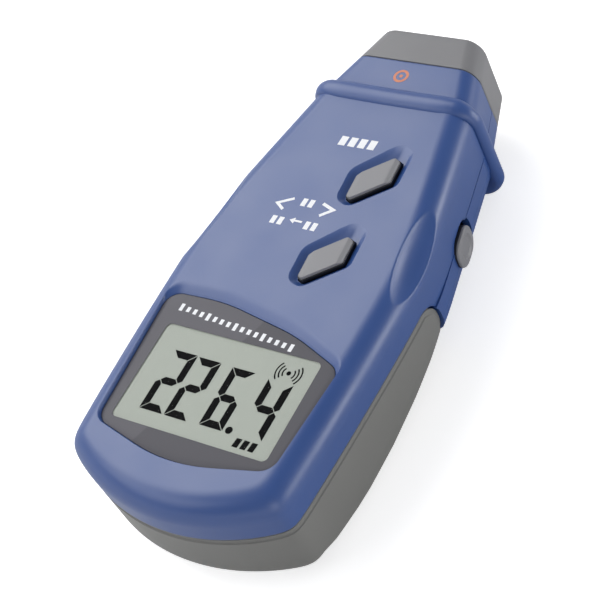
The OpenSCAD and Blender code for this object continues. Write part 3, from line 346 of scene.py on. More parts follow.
# Inner line of the shoulder strip: down the right of the face, round the display recess, and up the left
line_count, relax_rounds, match_rounds = 420, 200, 400
strip_right_top = np.array([[15.4, collar_hide_y], [24.3, 8.0], [25.0, -8.0], [28.4, -19.0]])
loop = even(recess_rim, 1600)
right_corner = int(np.argmin(np.abs(loop[:, 1] + 27.4) + 10 * (loop[:, 0] < 29)))
left_corner = int(np.argmin(np.abs(loop[:, 1] + 20.6) + 10 * (loop[:, 0] > -29)))
down = np.arange(right_corner, right_corner - ((right_corner - left_corner) % len(loop)) - 1, -1) % len(loop)
around = loop[down]
lead_in = np.vstack([strip_right_top, around[:1]])


def smooth_line(points, count, rounds):
    """A line sampled evenly and relaxed: each round moves the inner points toward their neighbours' mean."""
    p = even(points, count, closed=False)
    for _ in range(rounds):
        p[1:-1] = (p[:-2] + 2 * p[1:-1] + p[2:]) / 4
    return p


lead_right = smooth_line(lead_in, line_count, relax_rounds)
lead_out = np.vstack([around[-1:], [[-28.2, -13.0]], strip_right_top[2::-1] * [-1, 1]])
lead_left = smooth_line(lead_out, line_count, relax_rounds)
display_run = even(around, 560, closed=False)
inner_line = np.vstack([lead_right[:-1], display_run, lead_left[1:]])

# Outer line: the zero line of depth, found by Newton steps from points on the straight-edged outline
under_collar = neck + (neck - grip) / (neck - grip)[1] * (collar_hide_y - neck[1])
outline_marks = np.vstack([under_collar, grip, hip, heel])
bow_turn = math.asin(heel[0] / bow_r)
turns = np.linspace(bow_turn, -bow_turn, 200)
bow_points = np.stack([bow_r * np.sin(turns), bow_centre_y - bow_r * np.cos(turns)], 1)
sharp_outline = np.vstack([outline_marks, bow_points[1:-1], outline_marks[::-1] * [-1, 1]])
dense = even(sharp_outline, 3000, closed=False)
step = 1e-3
for _ in range(6):
    d0 = depth(dense[:, 0], dense[:, 1])
    gx = (depth(dense[:, 0] + step, dense[:, 1]) - d0) / step
    gy = (depth(dense[:, 0], dense[:, 1] + step) - d0) / step
    dense = dense - np.stack([gx, gy], 1) * (d0 / np.maximum(gx ** 2 + gy ** 2, 0.3))[:, None]
dense[0, 1] = dense[-1, 1] = collar_hide_y


def nearest(points, x, y):
    """Index of the point of a line nearest to (x, y)."""
    return int(np.argmin(np.hypot(points[:, 0] - x, points[:, 1] - y)))


# Places on the inner line, each with its place on the outer line. Between them the match is even
inner_run, dense_run = run_of(inner_line), run_of(dense)
pairs = [((15.4, collar_hide_y), (25.7, collar_hide_y)), ((24.3, 8.0), (35.0, 8.0)),
         ((25.0, -8.0), (36.0, -8.0)), ((30.4, -27.6), (35.9, -26.0)), ((29.0, -50.0), (35.6, -50.0)),
         ((27.6, -61.9), (33.9, -68.2)), ((0.0, -67.8), (0.0, -80.0))]
inner_at = [inner_run[nearest(inner_line, *a)] for a, _ in pairs]
dense_at = [dense_run[nearest(dense, *b)] for _, b in pairs]
inner_at += [inner_run[nearest(inner_line, -a[0], a[1])] for a, _ in pairs[-2::-1]]
dense_at += [dense_run[nearest(dense, -b[0], b[1])] for _, b in pairs[-2::-1]]
inner_at[0], inner_at[-1], dense_at[0], dense_at[-1] = 0, inner_run[-1], 0, dense_run[-1]
matched = np.interp(inner_run, inner_at, dense_at)
for _ in range(match_rounds):
    matched[1:-1] = (matched[:-2] + 2 * matched[1:-1] + matched[2:]) / 4
outer_line = at_run(matched, dense_run, dense)

# Rings from the outer line to the inner one, close together where the shoulder turns
gap = np.linalg.norm(inner_line - outer_line, axis=1)
turn_most_share = 0.86
turn_share = np.minimum(turn_most_share, shoulder_r / gap)
full = np.arccos(np.clip(1 - turn_share * gap / shoulder_r, 0, 1))
rings_turn, rings_flat = 46, 12
share = [(shoulder_r * (1 - np.cos(full * i / rings_turn))) / gap for i in range(rings_turn)]
share += [turn_share + (1 - turn_share) * i / rings_flat for i in range(rings_flat + 1)]
share = np.stack(share)
strip = outer_line[None] + (inner_line - outer_line)[None] * share[..., None]
height = face_height(strip[..., 0], strip[..., 1])
shoulder_points = np.concatenate([strip, height[..., None]], -1)

# Flank below the shoulder, down to the cover's seam, the parting line or the top of the side key's opening
seam_cover, seam_parting = 22.75, 18.5
cover_front, cover_corner, cover_corner_z = -3.7, 7.4, 15.4
side_key_y, side_key_z, side_key_half, side_key_tall, side_key_round = 25.6, 15.6, 6.4, 5.1, 4.5
edge_groove, lip_rise, flank_steps = 0.22, 4.0, 9


def lower_edge(x, y):
    """Height of the front case's lower edge: the cover's seam with its rounded corner, then the parting line,
    lifted over the opening of the side key on the right flank."""
    arc = cover_corner_z + quarter(y - cover_front, cover_corner)
    z = np.where(y < cover_front, seam_cover, np.maximum(arc, seam_parting))
    z = np.where(y > cover_front + cover_corner, seam_parting, z)
    run = np.abs(y - side_key_y) / math.cos(flank_turn)
    corner = quarter(run - (side_key_half - side_key_round), side_key_round)
    over = side_key_z + side_key_tall - side_key_round + corner
    return np.where((x > 0) & (run < side_key_half), np.maximum(z, over), z)


edge = lower_edge(outer_line[:, 0], outer_line[:, 1])
inward = right_of(np.gradient(outer_line, axis=0))
flank_rows = []
for back, rise in ((case_wall, lip_rise), (case_wall, 0.0), (edge_groove, 0.0), (0.06, edge_groove * 0.7),
                   (0.0, edge_groove * 1.6)):
    flank_rows.append(level(outer_line + inward * back, edge + rise))
first_wall = edge + edge_groove * 1.6
for i in range(1, flank_steps):
    flank_rows.append(level(outer_line, first_wall + (shoulder_foot - first_wall) * i / flank_steps))
wall_points = np.concatenate([np.stack(flank_rows), shoulder_points])
wall_rows, wall_columns = wall_points.shape[:2]
wall_flat = with_grips(wall_points.reshape(-1, 3))

# Rim and wall of the recess, from the face down to the window plate
recess_count = 900
rim_points = even(recess_rim, recess_count)
foot_points = even(recess_foot, recess_count)
foot_points = np.roll(foot_points, -nearest(foot_points, *rim_points[0]), 0)


def ring_between(a, b, profile):
    """Rows of points between two matching closed lines. Each (share, height) of the profile gives a row at
    that share of the way from a to b; height is a number or an array of one height per point."""
    return np.stack([level(a + (b - a) * share, z) for share, z in profile])


rim_z = face_height(*rim_points.T)
recess_profile = [(0.0, rim_z), (0.12, rim_z - 0.04), (0.25, rim_z - 0.14), (0.4, rim_z - 0.3)]
for t in (0.33, 0.66, 1.0):
    recess_profile.append((0.4 + 0.55 * t, (rim_z - 0.3) * (1 - t) + (window_z + 0.12) * t))
recess_profile += [(0.99, window_z + 0.02), (1.0, window_z - 1.0)]
recess_points = ring_between(rim_points, foot_points, recess_profile)

# Face ahead of the display, flat, with a dish round each face key
key_x, key_places = 9.7, (26.7, -0.6)
key_corners = np.array([(5.6, -0.2), (5.1, 7.2), (3.05, 8.0), (-5.6, 0.2), (-5.1, -7.2), (-3.05, -8.0)])


def key_outline(grow, radius, steps=12, shift=(0, 0)):
    """Leaning hexagon of a face key, its sides moved out by grow and its corners rounded."""
    k = key_corners
    n1, n2 = right_of(k - np.roll(k, 1, 0)), right_of(np.roll(k, -1, 0) - k)
    move = (n1 + n2) / (1 + (n1 * n2).sum(1))[:, None] * grow
    p = k + move + shift
    return rounded(np.column_stack([p, np.full(len(k), radius)]), steps)


ring_count = 240


def polar(points, count=ring_count):
    """The same closed line sampled at even angles round its middle, counter-clockwise from +x."""
    p = even(points, 2400)
    angle = np.unwrap(np.arctan2(p[:, 1], p[:, 0]))
    at = np.linspace(0, 2 * math.pi, count, endpoint=False)
    base = angle[0] + (at - angle[0]) % (2 * math.pi)
    full_angle, full_p = np.append(angle, angle[0] + 2 * math.pi), np.vstack([p, p[:1]])
    return at_run(base, full_angle, full_p)


dish_count, dish_depth, well_deep, nose_end_stretch = 300, 1.2, 3.0, 1.7
dish_z = face_z - dish_depth
dish_parts, dish_holes = [], []
for y in key_places:
    rim = polar(key_outline(2.5, 3.6, shift=(-0.25, 0.6)), dish_count)
    rim[:, 1] += nose_end_stretch * np.clip((rim[:, 1] - 1) / 8, 0, 1)
    foot = polar(key_outline(0.55, 1.3, shift=(0.0, 0.1)), dish_count)
    well = polar(key_outline(0.28, 0.9), dish_count)
    place = [key_x, y]
    # Mostly a straight slope and a little of a soft step, so the dish is shallow and its rim rolls over
    slope_at = np.linspace(0, 1, 17)
    fall = 0.7 * slope_at + 0.3 * slope_at ** 2 * (3 - 2 * slope_at)
    slope = ring_between(rim + place, foot + place, list(zip(slope_at, face_z - dish_depth * fall)))
    drop_profile = [(0.0, dish_z), (0.9, dish_z - 0.02), (1.0, dish_z - 0.15), (1.0, dish_z - well_deep)]
    drop = ring_between(foot + place, well + place, drop_profile)
    both = np.concatenate([slope, drop[1:]])
    dish_parts.append((both.reshape(-1, 3), grid_faces(len(both), dish_count, closed=True)[:, ::-1]))
    dish_holes.append(rim + place)

i0, i1 = nearest(loop, *display_run[0]), nearest(loop, *display_run[-1])
forward = np.arange(i0, i0 + ((i1 - i0) % len(loop)) + 1) % len(loop)
crown_line = even(loop[forward], 260, closed=False)
face_outline = np.vstack([lead_left[1:], lead_right[:-1], display_run[:1], crown_line[1:-1],
                          display_run[-1:]])
face_points, face_faces = flat_fill(face_outline, dish_holes, face_height)
face_points = with_grips(face_points)


# Top half of the nose: a rounded section that narrows toward the cap, open below at the parting line
seam_y, nose_half, nose_top, nose_round = 68.7, 20.2, 34.6, 5.5
nose_lean = (neck[0] - nose_half) / (seam_y - neck[1])


def arch(half, foot, top, radius, steps=14):
    """Section across the meter from the right foot over the top to the left foot, upper corners rounded."""
    turn = np.linspace(0, math.pi / 2, steps)
    right = [half - radius, top - radius] + radius * circle(turn)
    low = np.stack([np.full(8, half), np.linspace(foot, top - radius, 8, endpoint=False)], 1)
    side = np.vstack([low, right])
    flat = np.stack([np.linspace(half - radius, radius - half, 13)[1:-1], np.full(11, top)], 1)
    return np.vstack([side, flat, side[::-1] * [-1, 1]])


nose_rows = []
for y, inset in [(collar_hide_y, 0), (54, 0), (58, 0), (62, 0), (66, 0), (68, 0), (68.38, 0), (68.5, 0.03),
                 (68.57, 0.12), (68.58, case_wall)]:
    half = nose_half + nose_lean * (seam_y - y) - inset
    section = arch(half, seam_parting, nose_top - inset, nose_round - inset)
    ends = section[0] + np.array([(-case_wall, 0), (-edge_groove, 0), (-0.04, 0.14)])
    section[0, 1] += 0.3
    section = np.vstack([ends, section, section[:1] * [-1, 1], ends[::-1] * [-1, 1]])
    nose_rows.append(stand(section, y))
nose_points = np.stack(nose_rows)
nose_faces = grid_faces(*nose_points.shape[:2])


# Blue plastic
# Injection-moulded ABS with a fine spark-eroded grain. The grain catches the soft box as a pale, almost
# white veil on the face; handling has polished it a little in patches.
grain = bpy.data.node_groups.new("moulded_grain", "ShaderNodeTree")
grain.interface.new_socket("Vector", in_out="INPUT", socket_type="NodeSocketVector")
for label, start in (("Grain Scale", 4200.0), ("Patch Scale", 60.0), ("Rough Low", 0.35),
                     ("Rough High", 0.45)):
    grain.interface.new_socket(label, in_out="INPUT", socket_type="NodeSocketFloat").default_value = start
for label in ("Height", "Roughness", "Patch"):
    grain.interface.new_socket(label, in_out="OUTPUT", socket_type="NodeSocketFloat")
ins, outs = grain.nodes.new("NodeGroupInput"), grain.nodes.new("NodeGroupOutput")
fine, coarse, spread = new_nodes(grain, "TexNoise", "TexNoise", "MapRange")
socket_value(fine, Detail=2.0)
socket_value(coarse, Detail=3.0)
socket_value(spread, From_Min=0.3, From_Max=0.7)
join(grain, (ins, "Vector", fine, "Vector"), (ins, "Vector", coarse, "Vector"),
     (ins, "Grain Scale", fine, "Scale"), (ins, "Patch Scale", coarse, "Scale"),
     (coarse, "Fac", spread, "Value"), (ins, "Rough Low", spread, "To Min"),
     (ins, "Rough High", spread, "To Max"), (fine, "Fac", outs, "Height"),
     (spread, "Result", outs, "Roughness"), (coarse, "Fac", outs, "Patch"))


def moulded(name, colour, low, high, depth_mm=0.02, tone=0.06, scale=4200.0, **values):
    """Plastic with moulded grain: bump from fine noise, roughness and tone that wander in patches."""
    made, tree, shader = material(name, colour, low, **values)
    place, skin, bump, shade = new_nodes(tree, "TexCoord", "Group", "Bump", "Mix")
    skin.node_tree = grain
    socket_value(skin, Rough_Low=low, Rough_High=high, Grain_Scale=scale)
    socket_value(bump, Strength=0.35, Distance=depth_mm / 1000)
    shade.data_type = "RGBA"
    dark = [c * (1 - tone) for c in colour[:3]] + [1.0]
    light = [min(1.0, c * (1 + tone)) for c in colour[:3]] + [1.0]
    socket_value(shade, A=dark, B=light)
    join(tree, (place, "Object", skin, "Vector"), (skin, "Height", bump, "Height"),
         (bump, "Normal", shader, "Normal"), (skin, "Roughness", shader, "Roughness"),
         (skin, "Patch", shade, "Factor"), (shade, "Result", shader, "Base Color"))
    return made


blue = moulded("blue_abs", srgb(37, 71, 132), 0.34, 0.42, Specular_IOR_Level=0.8)
recess_flat = with_grips(recess_points.reshape(-1, 3))
recess_faces = grid_faces(len(recess_points), recess_count, closed=True)
front_parts = [(wall_flat, grid_faces(wall_rows, wall_columns)), (recess_flat, recess_faces),
               (face_points, face_faces), (nose_points, nose_faces)] + dish_parts
piece("front_case_skin", front_parts, "base", blue, ["front_case"], smooth=40, weld=0.02)


def dress(look, *names):
    """Gives carried-over CAD nodes one look."""
    for name in names:
        nodes[name].data.materials.clear()
        nodes[name].data.materials.append(look)


dress(blue, "rear_case")

# Collar
# A half-round guard bead moulded of the same blue plastic in one ring round the neck. It bows a little
# toward the display in the middle of the face and of the back, and is thinner and closer in on the flanks.
collar_half, collar_top, collar_y, collar_round, collar_bow = 28.4, 37.1, 55.2, 8.0, 0.5
bead_r, bead_long, flank_thinner, flank_closer = 2.9, 3.35, 0.9, 0.5
flank_from, flank_over = 0.45, 0.3
neck_foot = (24.0, 9.4, 32.4, 4.0)


def ring_section(half, z0, z1, radius, steps=16, flats=9):
    """Closed rounded rectangle of (x, z) points, counter-clockwise seen from the display end."""
    out = []
    for cx, cz, a0 in ((1, 1, 0), (-1, 1, 90), (-1, -1, 180), (1, -1, 270)):
        a = np.radians(np.linspace(a0, a0 + 90, steps))
        middle = [cx * (half - radius), (z0 + z1) / 2 + cz * ((z1 - z0) / 2 - radius)]
        out.append(middle + radius * circle(a))
        following = {0: (radius - half, z1), 90: (-half, z0 + radius), 180: (half - radius, z0),
                     270: (half, z1 - radius)}[a0]
        t = np.linspace(0, 1, flats + 2)[1:-1, None]
        out.append(out[-1][-1] * (1 - t) + np.array(following) * t)
    return np.vstack(out)


bead_outer = ring_section(collar_half, 0.0, collar_top, collar_round)
bead_middle = ring_section(collar_half - bead_r, bead_r, collar_top - bead_r, collar_round - bead_r)
bead_out = (bead_outer - bead_middle) / bead_r
# Share of the flank: none on the face and the back, full between the two rounded corners
flank = np.clip((bead_middle[:, 0] ** 2 / collar_half ** 2 - flank_from) / flank_over, 0, 1)[:, None]
bead_thick = bead_r - flank_thinner * flank
bead_bow = collar_bow * (1 - np.clip(np.abs(bead_middle[:, 0]) / neck[0], 0, 1) ** 2)
bead_rows = []
for a in np.linspace(-math.pi / 2, math.pi / 2, 19):
    section = bead_middle + bead_out * (bead_thick * math.cos(a) - flank_closer * flank)
    along = collar_y - bead_bow + bead_long * (bead_thick[:, 0] / bead_r) * math.sin(a)
    bead_rows.append(stand(section, along))
# Behind the bead its two sides run straight in to the wall of the neck
bead_foot = ring_section(*neck_foot)
bead_rows += [stand(bead_foot, row[:, 1]) for row in (bead_rows[-1], bead_rows[0])]
bead = np.stack(bead_rows + bead_rows[:1])
piece("collar_bead", [(bead, grid_faces(*bead.shape[:2], closed=True))], "base", blue,
      ["collar_ring"], outward=True)

# Battery cover
# Grey ABS boot that wraps the display end, the flanks and the back and slides off endways. A band along its
# edge lies a little lower than the panel inside it.
cover_seam, cover_open_y, cover_arc, arc_drop, spine_end = 22.25, 3.3, 7.0, 0.15, -61.0
cover_stations = np.array([(-80.0, 4.5, 4), (-64.7, 2.8, 5), (-59.7, 1.3, 5), (-49.7, 0.2, 5), (-43.7, 0, 5),
                           (-30.7, 0, 6), (-16.7, 0.6, 8), (-5.7, 1.6, 10), (3.3, 2.7, 12)])
cover_wall, cover_gap, band_width, band_step, band_soft = 1.7, 0.3, 1.6, 0.45, 0.14
edge_round, edge_reach, least_wall, belly_z, far = 0.16, 0.3, 0.4, 8.0, 99.0


def cover_top(y):
    """Height of the cover's seam over y: level, then the quarter circle of its upper front corner."""
    arc = cover_corner_z - arc_drop + quarter(y - cover_front, cover_arc)
    return np.where(y < cover_front, cover_seam, arc)


ends = [np.array([np.interp(cover_open_y, side[:, 1], side[:, 0]), cover_open_y])
        for side in (dense[dense[:, 0] > 0][::-1], dense[dense[:, 0] < 0])]
cover_line = np.vstack([ends[0], dense[dense[:, 1] <= cover_open_y], ends[1]])
# Steps along the cover's outline, close together near its open front, where the band and its edge lie
front_steps = np.concatenate([np.linspace(0, 0.3, 4), np.linspace(0.6, 2.0, 12), np.linspace(2.2, 9, 34)])
cover_run = run_of(cover_line)
middle_steps = np.linspace(9.5, cover_run[-1] - 9.5, 330)
cover_at = np.concatenate([front_steps, middle_steps, cover_run[-1] - front_steps[::-1]])
cover_line = at_run(cover_at, cover_run, cover_line)
spine = np.stack([np.zeros(len(cover_line)), np.clip(cover_line[:, 1], spine_end, None)], 1)
low, low_r = [np.interp(cover_line[:, 1], cover_stations[:, 0], cover_stations[:, i]) for i in (1, 2)]
top = cover_top(cover_line[:, 1]) - cover_gap
foot = np.minimum(low + low_r, top - least_wall)
drops = np.array([0.0, 0.12, 0.3, 0.6, 0.9, 1.1, 1.25, 1.4, 1.55, 1.8, 2.2, 2.8])
cover_rows = [level(cover_line, np.maximum(top - drop, foot)) for drop in drops]
start = np.maximum(top - drops[-1], foot)
down_shares, belly_shares = np.linspace(0, 1, 12)[1:], np.linspace(0, 1, 15)[1:]
bend_turns = np.radians(np.linspace(0, 90, 13))[1:]
cover_rows += [level(cover_line, start + (foot - start) * t) for t in down_shares]
span = np.linalg.norm(spine - cover_line, axis=1)
edge_share = low_r / span
for a in bend_turns:
    p = cover_line + (spine - cover_line) * (edge_share * (1 - math.cos(a)))[:, None]
    cover_rows.append(level(p, low + low_r - low_r * math.sin(a)))
for t in belly_shares:
    share = edge_share + (1 - edge_share) * t
    p = cover_line + (spine - cover_line) * share[:, None]
    own_low = np.interp(p[:, 1], cover_stations[:, 0], cover_stations[:, 1])
    cover_rows.append(level(p, low + (own_low - low) * t))
cover_points = np.stack(cover_rows)
# Outward direction: level and square to the outline on the wall, turning down round the lower edge
plan_out = -right_of(np.gradient(cover_line, axis=0))
tilts = np.concatenate([np.zeros(len(drops) + len(down_shares)), bend_turns,
                        np.full(len(belly_shares), math.pi / 2)])
normal = np.stack([level(plan_out * math.cos(a), -math.sin(a)) for a in tilts])
y, z = cover_points[..., 1], cover_points[..., 2]
to_edge = np.where((y > cover_front) & (z > cover_corner_z),
                   cover_arc - np.hypot(y - cover_front, z - cover_corner_z + arc_drop),
                   np.minimum(np.where(z > belly_z, cover_seam - z, far), cover_open_y - y))
lower = band_step * (0.5 - 0.5 * np.tanh((to_edge - band_width) / band_soft * 2))
rounding = edge_round * np.clip(1 - to_edge / edge_reach, 0, 1) ** 2
cover_points = cover_points - normal * (lower + rounding)[..., None]
cover_grey = moulded("cover_grey_abs", srgb(112, 112, 109), 0.4, 0.5, tone=0.05, Specular_IOR_Level=0.5)
cover = piece("battery_cover_shell", [(cover_points, grid_faces(*cover_points.shape[:2]))], "battery_cover",
              cover_grey, ["battery_cover"], smooth=50, weld=0.01)
shell = cover.modifiers.new("wall", "SOLIDIFY")
shell.thickness, shell.offset = cover_wall / 1000, -1

# Lips inside the cover that run over the rails of the rear case
lip_x, lip_z, lip_y0, lip_y1, into_wall = 31.7, 21.5, -58.0, 1.0, 0.9
lip_section = np.array([(0, 0), (0, -0.3), (0.3, -0.6), (2.3, -2.0), (9, -2.0), (9, 0)])
right_line = dense[dense[:, 0] > 0]
y = np.linspace(lip_y0, lip_y1, 40)[:, None]
wall_x = np.interp(-y, -right_line[:, 1], right_line[:, 0])
x = np.minimum(lip_x + lip_section[:, 0], wall_x - into_wall)
lip = np.stack([x, np.broadcast_to(y, x.shape), np.broadcast_to(lip_z + lip_section[:, 1], x.shape)], -1)
count = len(lip_section)
lip_faces = grid_faces(*lip.shape[:2], closed=True).tolist()
lip_faces += [list(range(count)), list(range((len(y) - 1) * count, len(y) * count))[::-1]]
piece("cover_lips", [(lip, lip_faces), (lip * [-1, 1, 1], lip_faces)], "battery_cover", cover_grey,
      smooth=30, outward=True)

# Nose cap
# Separate grey moulding over the end of the nose, its front edges rounded, with a wide rounded mouth for the
# optics and a spigot that plugs into the case.
cap_y0, cap_y1, cap_tip_half = 68.85, 80.0, 16.5
mouth_half, mouth_z0, mouth_z1, mouth_round = 12.0, 14.4, 28.4, 5.0
spigot_inset, spigot_wall, spigot_back = 2.35, 1.3, 65.5
cap_bevel, mouth_bevel, cap_foot, cap_least_round = 1.2, 0.5, 8.0, 1.2
front_back, front_inset = 78.0, 3.2


def cap_ring(y, inset):
    """Ring of the nose's section at y, drawn in by inset."""
    half = nose_half - (nose_half - cap_tip_half) * (y - seam_y) / (cap_y1 - seam_y) if y > seam_y else \
        nose_half + nose_lean * (seam_y - y)
    radius = max(nose_round - inset, cap_least_round)
    section = ring_section(half - inset, cap_foot + inset, nose_top - inset, radius)
    return stand(section, y)


def mouth_ring(y, grow):
    """Ring of the mouth at y, grown by grow."""
    section = ring_section(mouth_half + grow, mouth_z0 - grow, mouth_z1 + grow, mouth_round + grow)
    return stand(section, y)


cap_rows = [cap_ring(spigot_back, spigot_inset + spigot_wall), cap_ring(spigot_back, spigot_inset),
            cap_ring(cap_y0, spigot_inset), cap_ring(cap_y0, 0.3), cap_ring(cap_y0 + 0.05, 0.1),
            cap_ring(cap_y0 + 0.2, 0.0)]
cap_rows += [cap_ring(y, 0.0) for y in np.linspace(70, 78.6, 8)]
for a in np.radians(np.linspace(0, 90, 9))[1:]:
    cap_rows.append(cap_ring(cap_y1 - cap_bevel * (1 - math.sin(a)), cap_bevel * (1 - math.cos(a))))
cap_rows += [cap_rows[-1] * (1 - t) + mouth_ring(cap_y1, mouth_bevel) * t for t in (0.25, 0.5, 0.75, 1.0)]
for a in np.radians((22, 45, 67, 90)):
    cap_rows.append(mouth_ring(cap_y1 - mouth_bevel * (1 - math.cos(a)), mouth_bevel * (1 - math.sin(a))))
cap_rows += [mouth_ring(front_back, 0.0), cap_ring(front_back, front_inset),
             cap_ring(spigot_back, spigot_inset + spigot_wall)]
cap_points = np.stack(cap_rows)
cap_grey = moulded("nose_grey_abs", srgb(118, 118, 120), 0.42, 0.52, tone=0.05, Specular_IOR_Level=0.5)
piece("nose_cap_moulding", [(cap_points, grid_faces(*cap_points.shape[:2], closed=True))], "base", cap_grey,
      ["nose_cap"], smooth=50, weld=0.005, outward=True)

# Face keys
# Two alike: a grey cap with sloped sides set in a black plunger whose skirt shows round it, over a flange
# that keeps it in the case and a stem that reaches the switch.
key_black = moulded("key_black_rubber", srgb(17, 18, 21), 0.3, 0.42, tone=0.08, Specular_IOR_Level=0.5)
key_grey = moulded("key_cap_grey", srgb(132, 132, 135), 0.42, 0.5, depth_mm=0.008, tone=0.03,
                   Specular_IOR_Level=0.45)
key_rise, key_inset, cap_base, cap_rim = 0.8, 0.3, 34.75, 35.2
stem_r, stem_z, flange_z, flange_top, skirt_z, skirt_top = 1.6, 31.0, 31.4, 32.0, 35.25, 35.5
slope_fall, slope_from, slope_run = 0.42, 3.95, 1.0


def closed_stack(rings):
    """Faces of stacked rings, closed by a fan at both ends: the points of the rings and two middle points."""
    points = np.stack(rings)
    rows, count = points.shape[:2]
    faces = grid_faces(rows, count, closed=True).tolist()
    flat = np.vstack([points.reshape(-1, 3), points[0].mean(0), points[-1].mean(0)])
    last_row, first_middle, last_middle = (rows - 1) * count, rows * count, rows * count + 1
    faces += [((a + 1) % count, a, first_middle) for a in range(count)]
    faces += [(last_row + a, last_row + (a + 1) % count, last_middle) for a in range(count)]
    return flat, faces


unit = circle(np.linspace(0, 2 * math.pi, ring_count, endpoint=False))
for name, y in (("upper_key", key_places[0]), ("lower_key", key_places[1])):
    centre = np.array([key_x, y])
    body = polar(key_outline(0.0, 0.9))
    flange = polar(key_outline(0.9, 1.3))
    cap = polar(key_outline(-key_inset, 0.75))
    rings = [level(line, z, centre) for line, z in (
        (unit * (stem_r - 0.25), stem_z), (unit * stem_r, stem_z + 0.15), (unit * stem_r, flange_z),
        (flange, flange_z), (flange, flange_top), (body, flange_top), (body, skirt_z),
        (body * 0.993, skirt_top - 0.08), (body * 0.98, skirt_top), (cap * 1.004, skirt_top),
        (cap * 1.004, cap_base))]
    piece(name + "_plunger", [closed_stack(rings)], name, key_black, [name], smooth=40,
          weld=0.001, outward=True)
    long_side = key_corners[1] - key_corners[0]
    slope_side = np.array([long_side[1], -long_side[0]]) / np.linalg.norm(long_side)

    def cap_height(p):
        """Height of the cap's top: level, and sloping down a little along its two long sides."""
        run = np.abs(p @ slope_side)
        return face_z + key_rise - slope_fall * np.clip((run - slope_from) / slope_run, 0, 1)

    rings = [level(cap, cap_base, centre), level(cap, cap_rim, centre)]
    rounding_falls = {1.0: 0.26, 0.994: 0.13, 0.982: 0.04}
    for shrink in (1.0, 0.994, 0.982, 0.965, 0.93, 0.88, 0.83, 0.78, 0.73, 0.6, 0.4, 0.2):
        line = cap * shrink
        rings.append(level(line, cap_height(line) - rounding_falls.get(shrink, 0.0), centre))
    piece(name + "_cap_face", [closed_stack(rings)], name, key_grey, [name + "_cap"], smooth=22,
          weld=0.001, outward=True)

# Side key
# Grey key across the parting line, pressed with the finger: an upright rounded pad with a round dimple in
# it. Points are set out along the flank, up, and outward, then turned onto the leaning flank.
side_place, side_count = np.array([31.55, 24.7, side_key_z]), 160
side_frame = np.array([[-math.sin(flank_turn), math.cos(flank_turn), 0], [0, 0, 1],
                       [math.cos(flank_turn), math.sin(flank_turn), 0]])
pad_size, flange_size = (5.7, 4.6, 4.0), (7.5, 5.8, 5.2)
side_stem_r, side_stem_in, side_flange_in, side_flange_out = 1.7, -5.2, -3.3, -2.5
crown_out, crown_fall, dimple_deep, dimple_r, dimple_soft = 1.5, 0.012, 0.55, 3.1, 0.45
ring_high, ring_r, ring_soft, skirt_in = 0.12, 3.6, 0.4, 0.7


def side_ring(half_l, half_h, radius, out, shrink=1.0):
    """A ring of the side key: rounded rectangle along the flank at a distance out, or a height per point."""
    r = min(radius, half_h - 0.05)
    outline = rounded([(half_l, -half_h, r), (half_l, half_h, r), (-half_l, half_h, r),
                       (-half_l, -half_h, r)], 14)
    outline = polar(outline, side_count) * shrink
    return side_place + level(outline, out(outline) if callable(out) else out) @ side_frame


def side_top(p):
    """Outward height of the key's pad: a shallow crown with a round dimple whose rim is a soft ring."""
    run = np.hypot(p[:, 0], p[:, 1])
    dimple = dimple_deep * (0.5 - 0.5 * np.tanh((run - dimple_r) / dimple_soft))
    return crown_out - crown_fall * run ** 2 - dimple + ring_high * np.exp(-((run - ring_r) / ring_soft) ** 2)


stem = circle(np.linspace(0, 2 * math.pi, side_count, endpoint=False)) * side_stem_r
rings = [side_place + level(stem, out) @ side_frame for out in (side_stem_in, side_flange_in)]
rings += [side_ring(*flange_size, side_flange_in), side_ring(*flange_size, side_flange_out)]
rings += [side_ring(*pad_size, side_flange_out), side_ring(*pad_size, lambda p: side_top(p) - skirt_in)]
for a in np.radians((30, 50, 70, 90)):
    fall, shrink = 0.45 * (1 - math.sin(a)), 1 - 0.07 * (1 - math.cos(a))
    rings.append(side_ring(*pad_size, lambda p: side_top(p) - fall, shrink))
for shrink in np.linspace(0.91, 0.04, 26):
    rings.append(side_ring(*pad_size, side_top, shrink))
side_grey = moulded("side_key_grey", srgb(122, 122, 125), 0.38, 0.48, tone=0.05, Specular_IOR_Level=0.5)
# Below the flank the key is dark: its colour changes over with the distance outward
tree = side_grey.node_tree
shader = tree.nodes["Principled BSDF"]
pad = shader.inputs["Base Color"].links[0].from_node
place, reach, mask, two = new_nodes(tree, "TexCoord", "VectorMath", "MapRange", "Mix")
reach.operation = "DOT_PRODUCT"
reach.inputs[1].default_value = side_frame[2].tolist()
level_out = float(side_place @ side_frame[2]) / 1000
socket_value(mask, From_Min=level_out + 0.00045, From_Max=level_out + 0.0006)
two.data_type = "RGBA"
socket_value(two, A=srgb(24, 24, 27))
join(tree, (place, "Object", reach, 0), (reach, "Value", mask, "Value"), (mask, "Result", two, "Factor"),
     (pad, "Result", two, "B"), (two, "Result", shader, "Base Color"))
piece("side_key_pad", [closed_stack(rings)], "side_key", side_grey, ["side_key"], smooth=45,
      weld=0.001, outward=True)


